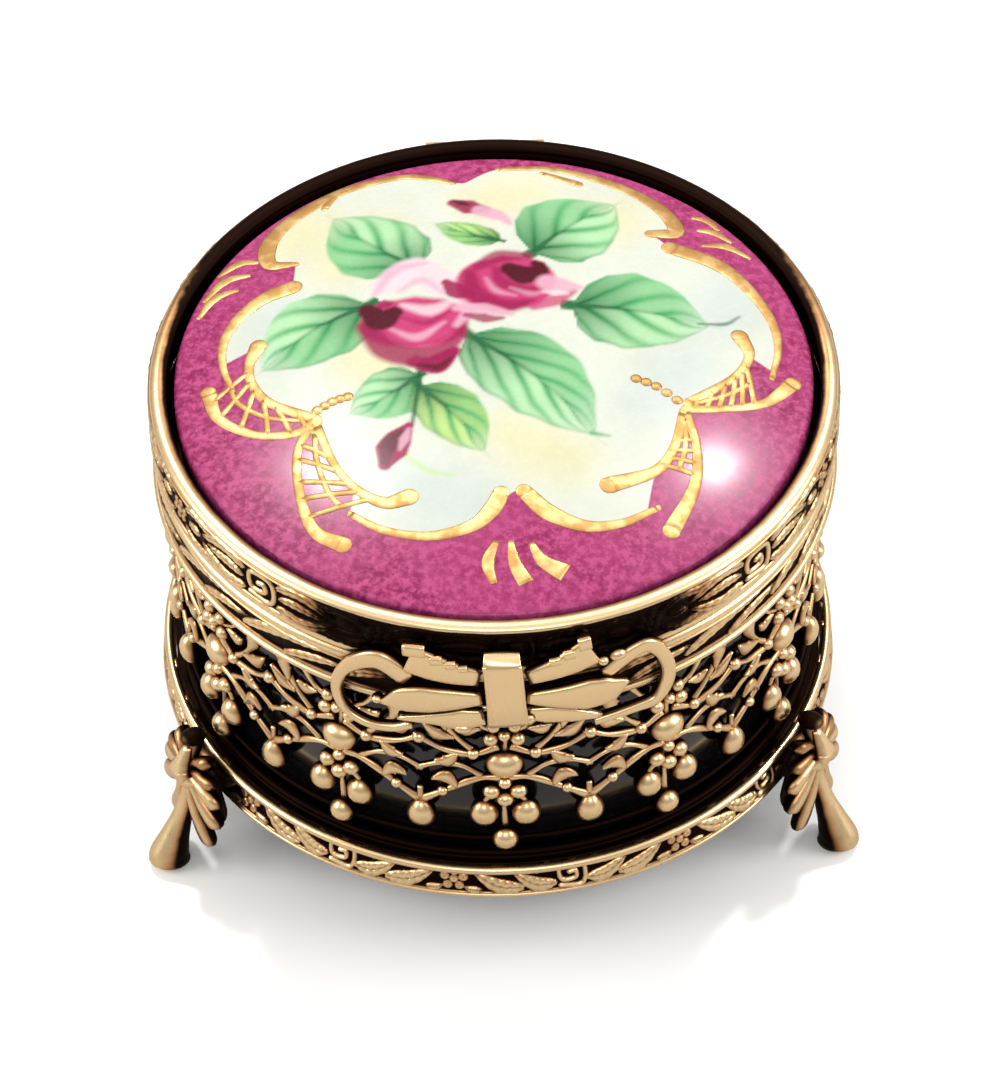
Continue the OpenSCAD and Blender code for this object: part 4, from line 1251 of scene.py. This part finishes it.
# %% Reserve outline
outline = np.vstack([
    flowing([(1.8, -23.6), (-0.8, -26), (-3.5, -28.6), (-9, -29.8), (-14.8, -28.4), (-19, -25.4)]),
    flowing([(-18.4, -22.0), (-20.8, -17.6), (-23.2, -10.2)]),
    flowing([(-25.6, -8.4), (-29, -5.8), (-31.4, -2), (-31.8, 1.6), (-30.9, 4.6)]),
    flowing([(-35.2, 2.5), (-35.2, 6.5), (-33.4, 10.6), (-30, 14), (-26.0, 15.6)]),
    flowing([(-25.6, 20.3), (-29.0, 21), (-29.3, 25), (-27, 29.3), (-23, 33), (-18.5, 36), (-12, 37.8),
             (-4.5, 35.5)]),
    flowing([(-3, 35.4), (1.5, 38.6), (8, 38.8), (14, 36.8), (20, 33), (23.6, 29), (24.8, 25), (21.4, 24.2)]),
    flowing([(24.0, 21.4), (29.8, 18.8), (33.6, 14.8), (36.6, 8.8), (37.3, 3.4), (36.2, -1.0)]),
    flowing([(33.4, 1.2), (31.0, -3.2), (25, -8.2)]),
    flowing([(24.4, -9.8), (22.9, -15.8), (20.4, -19.9), (19.0, -26.2)]),
    flowing([(15.8, -28.2), (11, -28.8), (6.4, -26.8), (3.3, -23.4), (1.8, -23.6)])])


def inside_outline(x, y, line):
    """Crossing count, for points inside a closed outline."""
    inside = np.zeros(x.shape, bool)
    for (x0, y0), (x1, y1) in zip(line, np.roll(line, -1, axis=0)):
        crosses = (y0 > y) != (y1 > y)
        inside ^= crosses & (x < (x1 - x0) * (y - y0) / (y1 - y0 + 1e-12) + x0)
    return inside


away, _, _ = reach_of(paint_x, paint_y, np.vstack([outline, outline[:1]]))
reserve = np.where(inside_outline(paint_x, paint_y, outline), away, -away)
print("reserve covers", round(float((reserve > 0).mean()) * 100), "% of the plaque")

# %% Plaque mesh
def spread(values, filler):
    """Values of the upper face, with a filler for the rim and the underside."""
    values = np.asarray(values, dtype=np.float32)
    below = len(plaque_points) - len(values)
    return np.concatenate([values, np.full((below, *values.shape[1:]), filler, np.float32)])


def porcelain_paint():
    """Pink lustre ground, white reserve and painting under one clear glaze."""
    material = bpy.data.materials.new("painted_porcelain")
    nodes, link = nodes_of(material)
    shader = nodes["Principled BSDF"]

    def carried(name, output="Fac"):
        node = nodes.new("ShaderNodeAttribute")
        node.attribute_name = name
        return node.outputs[output]

    place = nodes.new("ShaderNodeTexCoord").outputs["Object"]
    clouds = noise_of(nodes, link, place, 130, 4, 0.6)
    crystals = noise_of(nodes, link, place, 900, 3, 0.7)
    lustre = mix_colour(nodes, link, mapped(nodes, link, crystals, 0.36, 0.66),
                        linear(118, 22, 68), linear(166, 66, 112))
    lustre = mix_colour(nodes, link, mapped(nodes, link, clouds, 0.3, 0.7, 0.0, 0.55), lustre,
                        linear(156, 60, 106))
    wash = mix_colour(nodes, link, mapped(nodes, link, clouds, 0.35, 0.7, 0, 0.12),
                      carried("brushwork", "Color"), linear(190, 192, 168), "MULTIPLY")
    edge = mapped(nodes, link, carried("reserve_edge"), -0.12, 0.12)
    link(mix_colour(nodes, link, edge, lustre, wash), shader.inputs["Base Color"])
    link(mapped(nodes, link, crystals, 0.3, 0.7, 0.20, 0.32, smooth=False), shader.inputs["Roughness"])
    shader.inputs["Specular IOR Level"].default_value = 0.16
    shader.inputs["Coat Weight"].default_value = 0.12
    shader.inputs["Coat Roughness"].default_value = 0.12
    dented(nodes, link, shader, crystals, 0.12, 0.05)
    return material


plaque = solid("porcelain_plaque", plaque_points, plaque_faces, None, porcelain_paint())
brushwork = plaque.data.attributes.new("brushwork", "FLOAT_COLOR", "POINT")
FIRED = 0.68               # the colours sink into the glaze in the kiln
fired_colours = np.column_stack([canvas * FIRED, np.ones(len(canvas))])
brushwork.data.foreach_set("color", spread(fired_colours, 1.0).ravel())
reserve_edge = plaque.data.attributes.new("reserve_edge", "FLOAT", "POINT")
reserve_edge.data.foreach_set("value", spread(reserve, -3.0))
print("plaque vertices", len(plaque.data.vertices))

# %% Gilding
def on_dome(points):
    x, y = points[:, 0], points[:, 1]
    return np.stack([x, y, dome_height(x, y) + points[:, 2]], -1)


GILT_THICK = 0.2


def ladder(first, second, rungs):
    """Short bars between two scrolls, with a middle line: the gilt lattice."""
    first, second = flowing(first, 10), flowing(second, 10)
    parts = []
    middle = []
    for t in np.linspace(0.12, 0.88, rungs):
        a, b = first[int(t * (len(first) - 1))], second[int(t * (len(second) - 1))]
        parts.append(swept([tuple(a), tuple((a + b) / 2 + 0.1), tuple(b)], 0.85, GILT_THICK, sides=8, per=3))
        middle.append(tuple((a + b) / 2))
    parts.append(swept(middle, 0.8, GILT_THICK, sides=8, per=3))
    return parts


gilt_parts = [swept(points, widths, GILT_THICK, sides=12) for points, widths in SCROLLS.values()]
gilt_parts += [swept(points, widths, GILT_THICK, sides=12) for points, widths in ACCENTS]
gilt_parts += ladder(SCROLLS["left_branch"][0][1:], SCROLLS["left_low"][0], 6)
gilt_parts += ladder(SCROLLS["lower_left_in"][0][:4], SCROLLS["lower_left_out"][0][:4], 6)
gilt_parts += ladder(SCROLLS["lower_right_in"][0][:3], SCROLLS["lower_right_out"][0][:3], 6)
gilt_parts += ladder(SCROLLS["right_branch"][0][:3], SCROLLS["right_low"][0][:3], 6)
for rope in ROPES:
    for x, y in flowing(rope, 2):
        gilt_parts.append(berry(x, y, 1.5, 1.5, 0.28))
for points, widths in SCROLLS.values():
    for end, wide in ((points[0], widths[0]), (points[-1], widths[-1])):
        gilt_parts.append(berry(*end, wide, wide, GILT_THICK / 2 + 0.01))


def gilding_paint():
    material = bpy.data.materials.new("bright_gilding")
    nodes, link = nodes_of(material)
    shader = nodes["Principled BSDF"]
    shader.inputs["Metallic"].default_value = 0.8
    place = nodes.new("ShaderNodeTexCoord").outputs["Object"]
    thin = noise_of(nodes, link, place, 420, 3)
    worn = mapped(nodes, link, thin, 0.38, 0.66)
    gold = mix_colour(nodes, link, worn, linear(178, 134, 78), linear(218, 180, 120))
    link(gold, shader.inputs["Base Color"])
    link(mapped(nodes, link, thin, 0.3, 0.7, 0.52, 0.40, smooth=False), shader.inputs["Roughness"])
    dented(nodes, link, shader, thin, 0.3, 0.06)
    return material


gilding = solid("gilt_scrolls", *laid(gilt_parts, on_dome), gilding_paint())
print("gilding", len(gilding.data.polygons), "faces")

# %% [markdown]
# ## Pieces kept from the working model
# Hinge leaves, rivets, the pin, the floor plate and the packing ring keep the exact shape that the
# working model gives them, and get their finishes here.

# %% Finishes of the kept pieces
card = glaze("packing_card", linear(58, 48, 42), 0.8)
KEPT = [
    (("floor_plate",), blackened, "plain_brass"),
    (("hinge_leaf_body", "hinge_leaf_lid", "foot_rivets", "bow_stud"), plain, "plain_brass"),
    (("hinge_rivets_body", "hinge_rivets_lid", "hinge_pin"), bright, "bright_brass"),
    (("plaque_pad",), card, "packing_card"),
]
for names, finish, slot in KEPT:
    for name in names:
        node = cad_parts[name]
        node.data.materials.clear()
        node.data.materials.append(finish)
print("kept nodes", sum(len(names) for names, _, _ in KEPT))

# %% [markdown]
# ## Which piece rides on which body
# The lid, its lip, tray, plaque, gilding and bow turn about the hinge pin; all else stays put.

# %% Bodies, slots and replaced nodes
PLACES = [
    (base_band, "jar", "antique_brass", ["base_ring"]), (foot_roll, "jar", "bright_brass", []),
    (bead, "jar", "bright_brass", ["base_bead"]), (foot_wire, "jar", "bright_brass", ["wall_foot_wire"]),
    (openwork, "jar", "cast_brass", ["wall_filigree"]), (wall_rails, "jar", "cast_brass", []),
    (collar_band, "jar", "antique_brass", ["collar_band"]),
    (collar_wire, "jar", "bright_brass", ["collar_wire"]),
    (collar_roll, "jar", "bright_brass", ["collar_roll"]), (liner, "jar", "dark_glass", ["liner"]),
    (lid_band, "lid", "antique_brass", ["lid_band"]), (lip, "lid", "antique_brass", ["lid_lip"]),
    (lid_rim, "lid", "bright_brass", []),
    (tray, "lid", "antique_brass", ["lid_tray"]), (plaque, "lid", "porcelain", ["plaque"]),
    (gilding, "lid", "gilding", []), (bow_ribbon, "lid", "cast_brass", ["bow_ribbon"]),
    (bow_knot, "lid", "cast_brass", ["bow_knot"]),
] + [(feet[name], "jar", "cast_brass", [name]) for name in feet]
for piece, body, finish, replaced in PLACES:
    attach(piece, body)
    if replaced:
        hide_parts(*replaced)
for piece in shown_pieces():
    piece.data.calc_loop_triangles()
